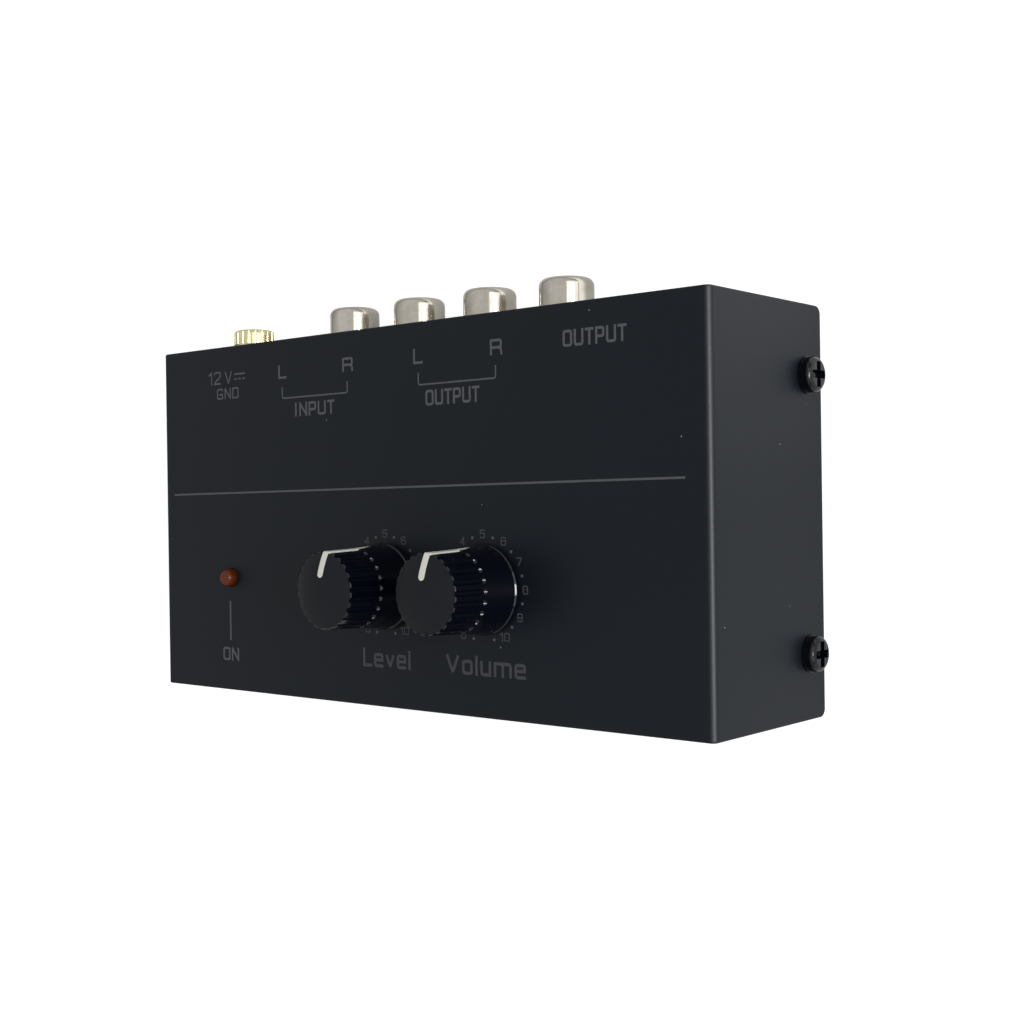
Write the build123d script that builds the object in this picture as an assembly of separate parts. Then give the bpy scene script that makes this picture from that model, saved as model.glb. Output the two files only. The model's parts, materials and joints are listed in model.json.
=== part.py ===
"""Small phono preamplifier: a folded steel case, a row of jacks at the back and two dials on the top panel.

Frame: +Z up through the top panel, +Y to the rear where the jacks are, +X to the right seen from the front.
The origin is on the surface that the feet stand on, midway across the case, and midway between the front
face and the tips of the phono jacks. All sizes are in millimetres and all angles in degrees."""

import os
from math import atan2, degrees

from build123d import *

# ---- Case ----------------------------------------------------------------------------------------
CASE_W = 112.0  # outside width, left to right
CASE_D = 57.5  # outside depth, front to rear, without the jacks
CASE_H = 29.0  # outside height, without the feet
SHEET = 1.0  # steel sheet of the cover and the tray
BEND_INNER_R = 0.4  # inside radius of every fold
BEND_OUTER_R = 0.95  # each fold is grooved on the inside first, so it is sharp outside
EDGE_R = 0.3  # the cover's outer edges, deburred and rounded further by the paint
SEAM = 0.15  # gap between the cover and the tray
FLAP_CORNER_R = 1.2  # rounded lower corners of the cover's side flaps
FLANGE_H = 8.0  # the tray's side flanges, which take the cover screws
FLANGE_INSET = 3.0  # from the inner face of an end wall to the flange
RELIEF_W = 1.2  # notch between a flange and the rest of the floor
RELIEF_DEPTH = 2.2

# ---- Feet ----------------------------------------------------------------------------------------
FOOT_R = 4.0
FOOT_H = 2.0
FOOT_TAPER = 0.35  # how much narrower the foot is at the ground
FOOT_INSET = 8.0  # from the outside of the case to the foot's centre

# ---- Screws --------------------------------------------------------------------------------------
SCREW_R = 1.5  # M3 thread, outside radius
THREAD_GAP = 0.05  # play of a thread in its tapped hole
SCREW_HOLE_GAP = 0.2  # play of a thread in a plain hole
COVER_HEAD_R = 2.6
COVER_HEAD_H = 1.9
COVER_SCREW_LENGTH = 4.0
COVER_SCREW_Z = 4.3  # above the underside of the case
COVER_SCREW_SPACING = 38.4  # front to rear
COVER_SCREW_SHIFT = -0.35  # from the middle of the case to the middle between two screws
BOARD_HEAD_R = 2.75
BOARD_HEAD_H = 1.8
BOARD_SCREW_LENGTH = 5.0
HEAD_RIM = 0.35  # thin straight rim under the rounded head
HEAD_ROUNDING = 0.42  # radius of the head's top edge, as a share of its height
RECESS_SPAN = 1.36  # length of the cross recess, as a share of the head's radius
RECESS_W = 0.42  # width of its arms, as a share of the head's radius
RECESS_TAPER = 12.0  # how steeply a cross recess narrows

# ---- Circuit board -------------------------------------------------------------------------------
BOARD_T = 1.6
BOARD_FRONT_GAP = 2.0
BOARD_REAR_GAP = 0.3
BOARD_SCREW_GAP = 1.0  # between the tips of the cover screws and the board
STANDOFF_H = 4.4
STANDOFF_FLATS = 5.0  # across the flats of the hexagon
STANDOFF_RIVET_R = 2.1
STANDOFF_EDGE = 3.4  # from the board's side edge
STANDOFF_FRONT_EDGE = 4.5
STANDOFF_REAR_EDGE = 5.7
LEAD_OUT = 1.2  # how far a soldered lead sticks out under the board
DRILL_GAP = 0.15  # play of a lead in its hole

# ---- Phono jacks ---------------------------------------------------------------------------------
PHONO_NAMES = ("input_left", "input_right", "output_left", "output_right")
PHONO_FIRST_X = -24.3
PHONO_PITCH = 15.15
JACK_AXIS_H = 6.0  # jack axis above the board
PHONO_R = 4.15
PHONO_WALL = 0.6
PHONO_REACH = 6.35  # from the rear face of the case to the tip
PHONO_LIP_R = 1.2  # outer radius of the rolled mouth
PHONO_HOLE_GAP = 0.3
PHONO_COLLAR = 0.22  # how far the barrel's collar stands out inside the wall
PHONO_FLANGE = 0.65  # how far the barrel's flange stands out behind the wall
PHONO_FLANGE_T = 0.4
PHONO_SEAT = 3.4  # barrel behind the rear wall
PHONO_SEAT_STEP = 0.2  # how much slimmer it is there
PHONO_BLOCK_WALL = 0.7
PHONO_BLOCK_D = 12.0
PHONO_BLOCK_ROOF = 1.05  # block above the barrel
PHONO_TAB_W = 2.4
SOCKET_R = 1.65  # bore for a plug's centre pin
SOCKET_WALL = 0.4
SOCKET_BACK = 2.5  # socket behind the insulator
SOCKET_PLATE_T = 0.5
SOCKET_LIP = 1.0  # insulator in front of the socket
SOCKET_LIP_R = 1.85
SOCKET_TAIL_W = 1.6
INSULATOR_GAP = 0.05

# ---- Power jack ----------------------------------------------------------------------------------
END_JACK_X = 38.2  # power jack on the left, stereo jack on the right
DC_BLOCK_W = 9.0
DC_BLOCK_D = 14.0
DC_BLOCK_H = 11.0
DC_AXIS_H = 6.5
DC_BORE_R = 3.15
DC_BORE_DEPTH = 11.5
DC_HOLE_R = 3.8
DC_PIN_R = 1.05
DC_PIN_SHANK_R = 1.3  # thicker part in the back of the block
DC_PIN_RECESS = 0.8  # pin's tip behind the front of the block
DC_PLATE_W = 3.2
DC_SPRING_W = 2.2
DC_SPRING_T = 0.3

# ---- Stereo jack ---------------------------------------------------------------------------------
TRS_BORE_R = 3.2
TRS_NOSE_R = 5.6
TRS_NOSE_REACH = 0.8  # beyond the rear face
TRS_HOLE_GAP = 0.25
TRS_BLOCK_W = 12.4
TRS_BLOCK_D = 30.0
TRS_BLOCK_H = 12.0
TRS_FRONT_WALL = 4.0
TRS_BACK_WALL = 1.5
TRS_CHAMBER_W = 9.6
TRS_CHAMBER_H = 8.8
TRS_LEAF_T = 0.3
TRS_LEAF_W = 2.4
TRS_LEAF_L = 8.0
TRS_BUMP_R = 0.45

# ---- Ground terminal -----------------------------------------------------------------------------
GROUND_X = -38.2
GROUND_Z = 23.3  # above the underside of the case
GROUND_HEAD_R = 3.43
GROUND_REACH = 3.0  # from the rear face to the end of the head
GROUND_EDGE_R = 0.8
GROUND_FLUTES = 20
GROUND_FLUTE_R = 0.28
GROUND_FLUTE_DEPTH = 0.22
GROUND_WASHER_T = 0.6
GROUND_WASHER_R = 3.1
GROUND_SHANK_R = 1.95  # M4 thread, drawn plain
GROUND_SHANK_GAP = 0.05  # running play in the nut and the washer
GROUND_SHANK_L = 6.8  # behind the washer
GROUND_HOLE_R = 2.3
GROUND_NUT_FLATS = 6.5
GROUND_NUT_T = 3.2
GROUND_LUG_T = 0.5
GROUND_LUG_R = 3.2
GROUND_LUG_L = 6.2
GROUND_LUG_W = 2.4
GROUND_WIRE_R = 0.7
GROUND_WIRE_X = 7.2  # from the terminal to where the wire drops
GROUND_WIRE_BEND = 2.0

# ---- Dials ---------------------------------------------------------------------------------------
LEVEL_X = -1.4
VOLUME_X = 18.2
DIAL_FROM_FRONT = 18.35  # dial axis behind the front face
LEVEL_ANGLE = 5.6  # pointer at rest, clockwise from straight back
VOLUME_ANGLE = 5.7
LEVEL_LIFT = 0.45  # how much less far this knob is pushed onto its shaft
VOLUME_LIFT = 0.0
DIAL_TRAVEL = 300.0  # from one stop to the other
KNOB_GAP = 0.5  # between the panel and the knob
KNOB_SKIRT_R = 6.5
KNOB_LIP_H = 0.28  # straight lip at the foot of the skirt
KNOB_LIP_STEP = 0.14
KNOB_LIP_SLOPE_H = 0.19
KNOB_WAIST_R = 5.88
KNOB_WAIST_H = 6.6  # above the panel, where the flutes end
KNOB_RIM_R = 5.65
KNOB_RIM_H = 12.3
KNOB_RIM_ROUNDING = 0.2
KNOB_FACE_H = 13.45  # top of the domed face
KNOB_FLUTES = 24
KNOB_FLUTE_R = 0.5
KNOB_FLUTE_DEPTH = 0.25
KNOB_RUNOUT = 0.69  # slope at the lower end of a flute, as a cone of this height
KNOB_BOSS_WALL = 1.0  # boss around the shaft
KNOB_BOSS_LIFT = 1.0  # boss above the knob's lower edge
KNOB_HOLLOW_R = 4.7
KNOB_CROWN = 2.9  # solid top of the knob
POINTER_W = 1.1
POINTER_INNER = 1.9  # from the axis to the round end
POINTER_DEPTH = 0.45
POINTER_END_H = 3.6  # above the panel, where the side stripe ends
POINTER_TIP = 1.9  # length of the stripe's pointed end
SHAFT_R = 3.0
SHAFT_FIT = 0.03  # play of the shaft in the knob
SHAFT_HOLE_GAP = 0.7  # play of the shaft in the panel
SHAFT_SLOT_W = 1.0
SHAFT_SLOT_DEPTH = 6.0
SHAFT_TEETH = 18
SHAFT_TOOTH_R = 0.3
NECK_R = 2.5
NECK_GAP = 0.05  # running play in the bushing

# ---- Potentiometers ------------------------------------------------------------------------------
POT_HALF_W = 4.9
POT_FRONT = 6.5  # case in front of the axis
POT_BACK = 4.9
POT_H = 11.0
POT_SKIN = 0.6  # wall around the track
POT_ROOF = 1.0
POT_BORE_R = 4.3
TRACK_T = 1.2
ROTOR_R = 3.2
ROTOR_LUG_R = 4.15
ROTOR_GAP = 0.4  # above and below the rotor
LUG_SWEEP = 30.0  # width of the rotor's stop lug
STOP_PLAY = 1.0  # left at each end of the travel
WIPER_T = 0.2
WIPER_LIFT = 0.05
BUSHING_R = 3.5
BUSHING_H = 5.0
BUSHING_FLANGE_R = 4.4
BUSHING_FLANGE_T = 0.8
BUSHING_SPIGOT_R = 2.85
SHOULDER_GAP = 0.2  # between the bushing and the shaft's shoulder

# ---- Power light ---------------------------------------------------------------------------------
LED_X = -38.1
LED_FROM_FRONT = 18.85
LED_R = 1.5
LED_RISE = 2.1  # above the panel
LED_LENGTH = 5.3
LED_FLANGE_R = 1.9
LED_FLANGE_T = 1.0
LED_HOLE_GAP = 0.1
LED_LEG_R = 0.25
LED_LEG_HALF = 1.27
LED_LEG_SUNK = 1.2
LED_SPACER_R = 2.3

# ---- Small components on the board ---------------------------------------------------------------
WIRE_R = 0.3  # leads of the small components
CAN_R = 2.5
CAN_H = 10.5
CAN_PITCH = 2.5
CAN_REAR_XS = (-47.0, -40.0, -33.0)
CAN_FROM_REAR = 22.6  # every row's distance is from the outside of the case
CAN_FRONT_XS = (-24.0, -16.5)
CAN_FROM_FRONT = 9.4
FILM_SIZE = (7.2, 2.6, 6.5)
FILM_PITCH = 5.0
FILM_XS = (-24.0, -13.0, -2.0, 9.0, 20.0)
FILM_GAP = 0.6  # behind the phono blocks
RESISTOR_R = 1.15
RESISTOR_L = 6.3
RESISTOR_PITCH = 10.2
RESISTOR_GAP = 3.2
RESISTOR_REAR_ROW = (-34.0, 8)  # X of the first, and how many
RESISTOR_FROM_REAR = 31.4
RESISTOR_FRONT_ROW = (29.5, 5)
RESISTOR_FROM_FRONT = 11.4
CHIP_XS = (-14.0, 12.0)
CHIP_FROM_REAR = 21.0
CHIP_SIZE = (9.4, 6.4, 3.3)
CHIP_LIFT = 0.5
CHIP_PIN_PITCH = 2.54
CHIP_ROW = 7.62
CHIP_PINS = 4
CHIP_PIN_W = 0.5
CHIP_PIN_T = 0.25
REGULATOR_X = -47.0
REGULATOR_FROM_REAR = 33.6
REGULATOR_R = 2.4
REGULATOR_H = 4.8
REGULATOR_LIFT = 2.0
DIODE_X = -41.5
DIODE_FROM_FRONT = 10.4
DIODE_R = 1.35
DIODE_L = 5.0

# ---- Levels and faces worked out from the above --------------------------------------------------
REAR_Y = (CASE_D - PHONO_REACH) / 2
FRONT_Y = REAR_Y - CASE_D
BASE_Z = FOOT_H
TOP_Z = BASE_Z + CASE_H
REAR_IN = REAR_Y - SHEET
FRONT_IN = FRONT_Y + SHEET
FLOOR_Z = BASE_Z + SHEET
CEILING_Z = TOP_Z - SHEET
TRAY_HALF_W = CASE_W / 2 - SHEET - SEAM
BOARD_BOTTOM = FLOOR_Z + STANDOFF_H
BOARD_TOP = BOARD_BOTTOM + BOARD_T
BOARD_HALF_W = CASE_W / 2 - COVER_SCREW_LENGTH - BOARD_SCREW_GAP
BOARD_FRONT = FRONT_IN + BOARD_FRONT_GAP
BOARD_REAR = REAR_IN - BOARD_REAR_GAP
LEAD_END = BOARD_BOTTOM - LEAD_OUT
JACK_Z = BOARD_TOP + JACK_AXIS_H
DC_Z = BOARD_TOP + DC_AXIS_H
DIAL_Y = FRONT_Y + DIAL_FROM_FRONT
LED_Y = FRONT_Y + LED_FROM_FRONT
KNOB_BOTTOM = TOP_Z + KNOB_GAP
SHAFT_TOP = TOP_Z + KNOB_FACE_H - KNOB_CROWN
POT_TOP = BOARD_TOP + POT_H
PHONO_X = {name: PHONO_FIRST_X + PHONO_PITCH * i for i, name in enumerate(PHONO_NAMES)}
DIALS = {"level": (LEVEL_X, LEVEL_ANGLE, LEVEL_LIFT), "volume": (VOLUME_X, VOLUME_ANGLE, VOLUME_LIFT)}
STANDOFF_PLACES = [
    (side * (BOARD_HALF_W - STANDOFF_EDGE), y)
    for side in (-1, 1)
    for y in (BOARD_FRONT + STANDOFF_FRONT_EDGE, BOARD_REAR - STANDOFF_REAR_EDGE)
]
COVER_SCREW_MID = (FRONT_Y + REAR_Y) / 2 + COVER_SCREW_SHIFT
COVER_SCREW_YS = [COVER_SCREW_MID + side * COVER_SCREW_SPACING / 2 for side in (-1, 1)]
PASS = 1.0  # how far a cutting tool runs past the face that it cuts

drilled = []  # tools for the holes in the board, collected as the components are made


# ---- Shapes used again and again -----------------------------------------------------------------
def block(low, high):
    """A box between two opposite corners."""
    size = [b - a for a, b in zip(low, high)]
    middle = [(a + b) / 2 for a, b in zip(low, high)]
    return Pos(*middle) * Box(*size)


def post(radius, x, y, low, high):
    """A round bar that stands upright."""
    return Pos(x, y, (low + high) / 2) * Cylinder(radius, high - low)


def rod(radius, x, z, front, rear):
    """A round bar that lies along Y."""
    return Pos(x, (front + rear) / 2, z) * Rot(90, 0, 0) * Cylinder(radius, rear - front)


def crossbar(radius, y, z, left, right):
    """A round bar that lies along X."""
    return Pos((left + right) / 2, y, z) * Rot(0, 90, 0) * Cylinder(radius, right - left)


def turned(*outline):
    """A part turned about Y, from the corners of its half section as (radius, place along Y)."""
    return revolve(make_face(Polyline(*outline, close=True)), Axis.Y)


def turned_edges(edges):
    """A part turned about Y, from the edges of its half section."""
    return revolve(make_face(edges), Axis.Y)


def upright(part):
    """Stands a part that was turned about Y on end, so that its Y points up."""
    return Rot(90, 0, 0) * part


def sector(radius, middle, sweep, low, high):
    """A slice of a round bar about Z, with its middle at an angle clockwise from straight back."""
    start = 90 - middle - sweep / 2
    arc = CenterArc((0, 0), radius, start, sweep)
    outline = [Line((0, 0), arc @ 0), arc, Line(arc @ 1, (0, 0))]
    return Pos(0, 0, low) * extrude(make_face(outline), amount=high - low)


def drill(x, y, radius):
    """Notes a hole through the board for a lead."""
    drilled.append(post(radius + DRILL_GAP, x, y, BOARD_BOTTOM - PASS, BOARD_TOP + PASS))


def lead(x, y, top, radius=WIRE_R):
    """A straight round lead down through the board, whose hole it notes."""
    drill(x, y, radius)
    return post(radius, x, y, LEAD_END, top)


def tail(x, y, width, thick, top):
    """A flat tail down through the board, whose slot it notes."""
    across = width / 2 + DRILL_GAP
    along = thick / 2 + DRILL_GAP
    slot_low = (x - across, y - along, BOARD_BOTTOM - PASS)
    drilled.append(block(slot_low, (x + across, y + along, BOARD_TOP + PASS)))
    return block((x - width / 2, y - thick / 2, LEAD_END), (x + width / 2, y + thick / 2, top))


def pan_screw(head_r, head_h, length):
    """A cross-recess screw along Y, with the underside of its rounded head at the origin."""
    dome_r = head_r - HEAD_RIM / 3
    screw = turned(
        (0, head_h), (0, -length), (SCREW_R, -length), (SCREW_R, 0),
        (head_r, 0), (head_r, HEAD_RIM), (dome_r, HEAD_RIM), (dome_r, head_h),
    )
    screw = fillet(screw.edges().group_by(Axis.Y)[-1], HEAD_ROUNDING * head_h)
    long, wide = RECESS_SPAN * head_r, RECESS_W * head_r
    slot = Rectangle(long, wide) + Rectangle(wide, long)
    recess = extrude(slot, amount=-0.62 * head_h, taper=RECESS_TAPER)
    return screw - Pos(0, head_h, 0) * Rot(-90, 0, 0) * recess


# ---- Case ----------------------------------------------------------------------------------------
def make_top_cover():
    """The folded cover: the top panel and a flap down each side, open at the front, rear and bottom."""
    half = CASE_W / 2
    outer = block((-half, FRONT_Y, BASE_Z), (half, REAR_Y, TOP_Z))
    outer = fillet(outer.edges().filter_by(Axis.Y).group_by(Axis.Z)[-1], BEND_OUTER_R)
    inner = block((SHEET - half, FRONT_Y - PASS, BASE_Z - PASS), (half - SHEET, REAR_Y + PASS, CEILING_Z))
    inner = fillet(inner.edges().filter_by(Axis.Y).group_by(Axis.Z)[-1], BEND_INNER_R)
    cover = outer - inner
    cover = fillet(cover.edges().filter_by(Axis.X).group_by(Axis.Z)[0], FLAP_CORNER_R)
    ends = cover.edges().filter_by(Axis.X).group_by(Axis.Z)[-1]
    cover = fillet(ends, EDGE_R)
    for x, _, _ in DIALS.values():
        cover -= post(SHAFT_R + SHAFT_HOLE_GAP, x, DIAL_Y, CEILING_Z - PASS, TOP_Z + PASS)
    cover -= post(LED_R + LED_HOLE_GAP, LED_X, LED_Y, CEILING_Z - PASS, TOP_Z + PASS)
    for y in COVER_SCREW_YS:
        cover -= crossbar(SCREW_R + SCREW_HOLE_GAP, y, BASE_Z + COVER_SCREW_Z, -half - PASS, half + PASS)
    return cover


def make_base_tray():
    """The folded tray: floor, front wall, rear wall with the jack holes, and two low side flanges."""
    outer = block((-TRAY_HALF_W, FRONT_Y, BASE_Z), (TRAY_HALF_W, REAR_Y, CEILING_Z - SEAM))
    outer = fillet(outer.edges().filter_by(Axis.X).group_by(Axis.Z)[0], BEND_OUTER_R)
    inner = block((-TRAY_HALF_W - PASS, FRONT_IN, FLOOR_Z), (TRAY_HALF_W + PASS, REAR_IN, TOP_Z))
    inner = fillet(inner.edges().filter_by(Axis.X).group_by(Axis.Z)[0], BEND_INNER_R)
    tray = outer - inner
    front, rear = FRONT_IN + FLANGE_INSET, REAR_IN - FLANGE_INSET
    for side in (-1, 1):
        inside, outside = sorted((side * (TRAY_HALF_W - SHEET), side * TRAY_HALF_W))
        tray += block((inside, front, BASE_Z), (outside, rear, BASE_Z + FLANGE_H))
        near, far = sorted((side * (TRAY_HALF_W - RELIEF_DEPTH), side * (TRAY_HALF_W + PASS)))
        for y in (front - RELIEF_W, rear):
            tray -= block((near, y, BASE_Z - PASS), (far, y + RELIEF_W, FLOOR_Z + PASS))
    flange_length = rear - front
    folds = [
        e
        for e in tray.edges().filter_by(Axis.Y).group_by(Axis.Z)[0]
        if abs(e.length - flange_length) < SEAM and abs(e.center().X) > TRAY_HALF_W - SEAM
    ]
    tray = fillet(folds, BEND_OUTER_R - SEAM)
    for y in COVER_SCREW_YS:
        tray -= crossbar(SCREW_R + THREAD_GAP, y, BASE_Z + COVER_SCREW_Z, -CASE_W / 2, CASE_W / 2)
    for x in PHONO_X.values():
        tray -= rod(PHONO_R + PHONO_HOLE_GAP, x, JACK_Z, REAR_IN - PASS, REAR_Y + PASS)
    tray -= rod(DC_HOLE_R, -END_JACK_X, DC_Z, REAR_IN - PASS, REAR_Y + PASS)
    tray -= rod(TRS_NOSE_R + TRS_HOLE_GAP, END_JACK_X, JACK_Z, REAR_IN - PASS, REAR_Y + PASS)
    tray -= rod(GROUND_HOLE_R, GROUND_X, BASE_Z + GROUND_Z, REAR_IN - PASS, REAR_Y + PASS)
    for x, y in STANDOFF_PLACES:
        tray -= post(STANDOFF_RIVET_R, x, y, BASE_Z - PASS, FLOOR_Z + PASS)
    return tray


def make_cover_screws():
    """Two screws on each side, through the cover's flaps into the tray's flanges."""
    screw = pan_screw(COVER_HEAD_R, COVER_HEAD_H, COVER_SCREW_LENGTH)
    z = BASE_Z + COVER_SCREW_Z
    screws = [Pos(CASE_W / 2, y, z) * Rot(0, 0, -90) * screw for y in COVER_SCREW_YS]
    screws += [Pos(-CASE_W / 2, y, z) * Rot(0, 0, 90) * screw for y in COVER_SCREW_YS]
    return Compound(children=screws)


def make_rubber_feet():
    """Four stick-on rubber feet, a little narrower at the ground."""
    ground_r = FOOT_R - FOOT_TAPER
    foot = upright(turned((0, 0), (ground_r, 0), (FOOT_R, FOOT_H), (0, FOOT_H)))
    xs = (FOOT_INSET - CASE_W / 2, CASE_W / 2 - FOOT_INSET)
    ys = (FRONT_Y + FOOT_INSET, REAR_Y - FOOT_INSET)
    return Compound(children=[Pos(x, y, 0) * foot for x in xs for y in ys])


# ---- Circuit board and what holds it -------------------------------------------------------------
def make_board_standoffs():
    """Hexagonal standoffs, riveted into the floor and tapped for the board screws."""
    hexagon = extrude(RegularPolygon(STANDOFF_FLATS / 2, 6, major_radius=False), amount=STANDOFF_H)
    rivet = post(STANDOFF_RIVET_R - THREAD_GAP, 0, 0, -SHEET, 0)
    standoff = hexagon + rivet - post(SCREW_R + THREAD_GAP, 0, 0, PASS - SHEET, STANDOFF_H + PASS)
    return Compound(children=[Pos(x, y, FLOOR_Z) * standoff for x, y in STANDOFF_PLACES])


def make_board_screws():
    """One screw down through each corner of the board into its standoff."""
    screw = upright(pan_screw(BOARD_HEAD_R, BOARD_HEAD_H, BOARD_SCREW_LENGTH))
    return Compound(children=[Pos(x, y, BOARD_TOP) * screw for x, y in STANDOFF_PLACES])


def make_circuit_board():
    """The board, with every hole that the components and the screws have asked for."""
    board = block((-BOARD_HALF_W, BOARD_FRONT, BOARD_BOTTOM), (BOARD_HALF_W, BOARD_REAR, BOARD_TOP))
    hole_r = SCREW_R + SCREW_HOLE_GAP
    for x, y in STANDOFF_PLACES:
        drilled.append(post(hole_r, x, y, BOARD_BOTTOM - PASS, BOARD_TOP + PASS))
    return board - drilled


# ---- Phono jacks ---------------------------------------------------------------------------------
SOCKET_OUTER_R = SOCKET_R + SOCKET_WALL
BARREL_BACK = REAR_IN - PHONO_SEAT
BLOCK_FRONT = REAR_IN - PHONO_FLANGE_T
TAB_Y = REAR_IN - PHONO_SEAT / 2
SOCKET_BASE = BARREL_BACK - SOCKET_BACK
INSULATOR_FACE = REAR_Y + PHONO_REACH - PHONO_LIP_R - INSULATOR_GAP


def make_phono_barrel(x):
    """The plated barrel with its rolled mouth, the flange behind the wall and the soldered earth tab."""
    lip = REAR_Y + PHONO_REACH - PHONO_LIP_R
    tip = REAR_Y + PHONO_REACH
    bore_r, mouth_r = PHONO_R - PHONO_WALL, PHONO_R - PHONO_LIP_R
    flange_r, collar_r = PHONO_R + PHONO_FLANGE, PHONO_R + PHONO_COLLAR
    seat_r = PHONO_R - PHONO_SEAT_STEP
    outline = [
        Polyline(
            (bore_r, lip), (bore_r, BARREL_BACK), (seat_r, BARREL_BACK), (seat_r, BLOCK_FRONT),
            (flange_r, BLOCK_FRONT), (flange_r, REAR_IN), (collar_r, REAR_IN), (collar_r, REAR_Y),
            (PHONO_R, REAR_Y), (PHONO_R, lip),
        ),
        CenterArc((mouth_r, lip), PHONO_LIP_R, 0, 90),
        Line((mouth_r, tip), (mouth_r, tip - PHONO_WALL)),
        CenterArc((mouth_r, lip), PHONO_LIP_R - PHONO_WALL, 0, 90),
    ]
    barrel = Pos(x, 0, JACK_Z) * turned_edges(outline)
    return barrel + tail(x, TAB_Y, PHONO_TAB_W, PHONO_FLANGE_T, JACK_Z - PHONO_R + PHONO_WALL / 2)


def make_phono_block(x):
    """The moulded block that holds the barrel and the socket."""
    half = PHONO_R + PHONO_BLOCK_WALL
    low = (x - half, BLOCK_FRONT - PHONO_BLOCK_D, BOARD_TOP)
    body = block(low, (x + half, BLOCK_FRONT, JACK_Z + PHONO_R + PHONO_BLOCK_ROOF))
    body -= rod(PHONO_R - PHONO_SEAT_STEP + INSULATOR_GAP, x, JACK_Z, BARREL_BACK, REAR_Y)
    body -= rod(SOCKET_OUTER_R + INSULATOR_GAP, x, JACK_Z, low[1] - PASS, REAR_Y)
    slot_half = SOCKET_TAIL_W / 2 + INSULATOR_GAP
    body -= block((x - slot_half, low[1] - PASS, BOARD_TOP - PASS), (x + slot_half, SOCKET_BASE, JACK_Z))
    tab_half = (PHONO_TAB_W / 2 + INSULATOR_GAP, PHONO_FLANGE_T / 2 + INSULATOR_GAP)
    tab_low = (x - tab_half[0], TAB_Y - tab_half[1], BOARD_TOP - PASS)
    return body - block(tab_low, (x + tab_half[0], TAB_Y + tab_half[1], JACK_Z))


def make_phono_insulator(x):
    """The coloured insulator inside the barrel, white for left and red for right."""
    outer_r = PHONO_R - PHONO_WALL - INSULATOR_GAP
    socket_room = SOCKET_OUTER_R + INSULATOR_GAP
    step = INSULATOR_FACE - SOCKET_LIP
    return Pos(x, 0, JACK_Z) * turned(
        (socket_room, BARREL_BACK), (outer_r, BARREL_BACK), (outer_r, INSULATOR_FACE),
        (SOCKET_LIP_R, INSULATOR_FACE), (SOCKET_LIP_R, step), (socket_room, step),
    )


def make_phono_contact(x):
    """The socket for a plug's centre pin, with its soldered tail."""
    front = INSULATOR_FACE - SOCKET_LIP - INSULATOR_GAP
    back = SOCKET_BASE - SOCKET_PLATE_T
    tube = Pos(x, 0, JACK_Z) * turned(
        (0, back), (SOCKET_OUTER_R, back), (SOCKET_OUTER_R, front), (SOCKET_R, front),
        (SOCKET_R, SOCKET_BASE), (0, SOCKET_BASE),
    )
    return tube + tail(x, SOCKET_BASE - SOCKET_PLATE_T / 2, SOCKET_TAIL_W, SOCKET_PLATE_T, JACK_Z)


# ---- Power jack ----------------------------------------------------------------------------------
DC_X = -END_JACK_X
DC_BACK = REAR_IN - DC_BLOCK_D
DC_BORE_BACK = REAR_IN - DC_BORE_DEPTH
DC_SPRING_Z = DC_Z - DC_BORE_R  # top face of the spring leaf


def make_dc_block():
    """The moulded block of the power jack, with its bore and the room for the spring leaf."""
    half = DC_BLOCK_W / 2
    body = block((DC_X - half, DC_BACK, BOARD_TOP), (DC_X + half, REAR_IN, BOARD_TOP + DC_BLOCK_H))
    body -= rod(DC_BORE_R, DC_X, DC_Z, DC_BORE_BACK, REAR_Y)
    body -= rod(DC_PIN_SHANK_R + INSULATOR_GAP, DC_X, DC_Z, DC_BACK - PASS, DC_BORE_BACK + PASS)
    room = DC_SPRING_W / 2 + INSULATOR_GAP
    leaf_low = DC_SPRING_Z - DC_SPRING_T - INSULATOR_GAP
    body -= block((DC_X - room, DC_BORE_BACK, leaf_low), (DC_X + room, REAR_Y, DC_Z))
    tail_room = (DC_X - room, DC_BORE_BACK, BOARD_TOP - PASS)
    return body - block(tail_room, (DC_X + room, DC_BORE_BACK + 2 * DC_SPRING_T, DC_Z))


def make_dc_pin():
    """The centre pin with its round tip, riveted to the solder plate behind the block."""
    tip = REAR_IN - DC_PIN_RECESS
    round_from = tip - DC_PIN_R
    plate_back = DC_BACK - SOCKET_PLATE_T
    outline = [
        Polyline(
            (0, tip), (0, plate_back), (DC_PIN_SHANK_R, plate_back), (DC_PIN_SHANK_R, DC_BORE_BACK),
            (DC_PIN_R, DC_BORE_BACK), (DC_PIN_R, round_from),
        ),
        CenterArc((0, round_from), DC_PIN_R, 0, 90),
    ]
    pin = Pos(DC_X, 0, DC_Z) * turned_edges(outline)
    plate_top = DC_Z + 1.5 * DC_PIN_SHANK_R
    return pin + tail(DC_X, DC_BACK - SOCKET_PLATE_T / 2, DC_PLATE_W, SOCKET_PLATE_T, plate_top)


def make_dc_spring():
    """The leaf that presses on the outside of a plug's barrel, with its tail at the back of the bore."""
    half = DC_SPRING_W / 2
    back = DC_BORE_BACK + INSULATOR_GAP
    leaf_low = DC_SPRING_Z - DC_SPRING_T
    leaf = block((DC_X - half, back, leaf_low), (DC_X + half, REAR_IN - 2 * DC_PIN_RECESS, DC_SPRING_Z))
    bump_y = REAR_IN - DC_BORE_DEPTH / 2
    leaf += crossbar(DC_SPRING_T, bump_y, DC_SPRING_Z, DC_X - half, DC_X + half)
    return leaf + tail(DC_X, back + DC_SPRING_T / 2, DC_SPRING_W, DC_SPRING_T, DC_SPRING_Z)


# ---- Stereo jack ---------------------------------------------------------------------------------
TRS_LEAVES = {"sleeve": (-1, 5.5), "ring": (-1, 15.5), "tip": (1, 19.5)}  # side, and start behind the wall


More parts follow.
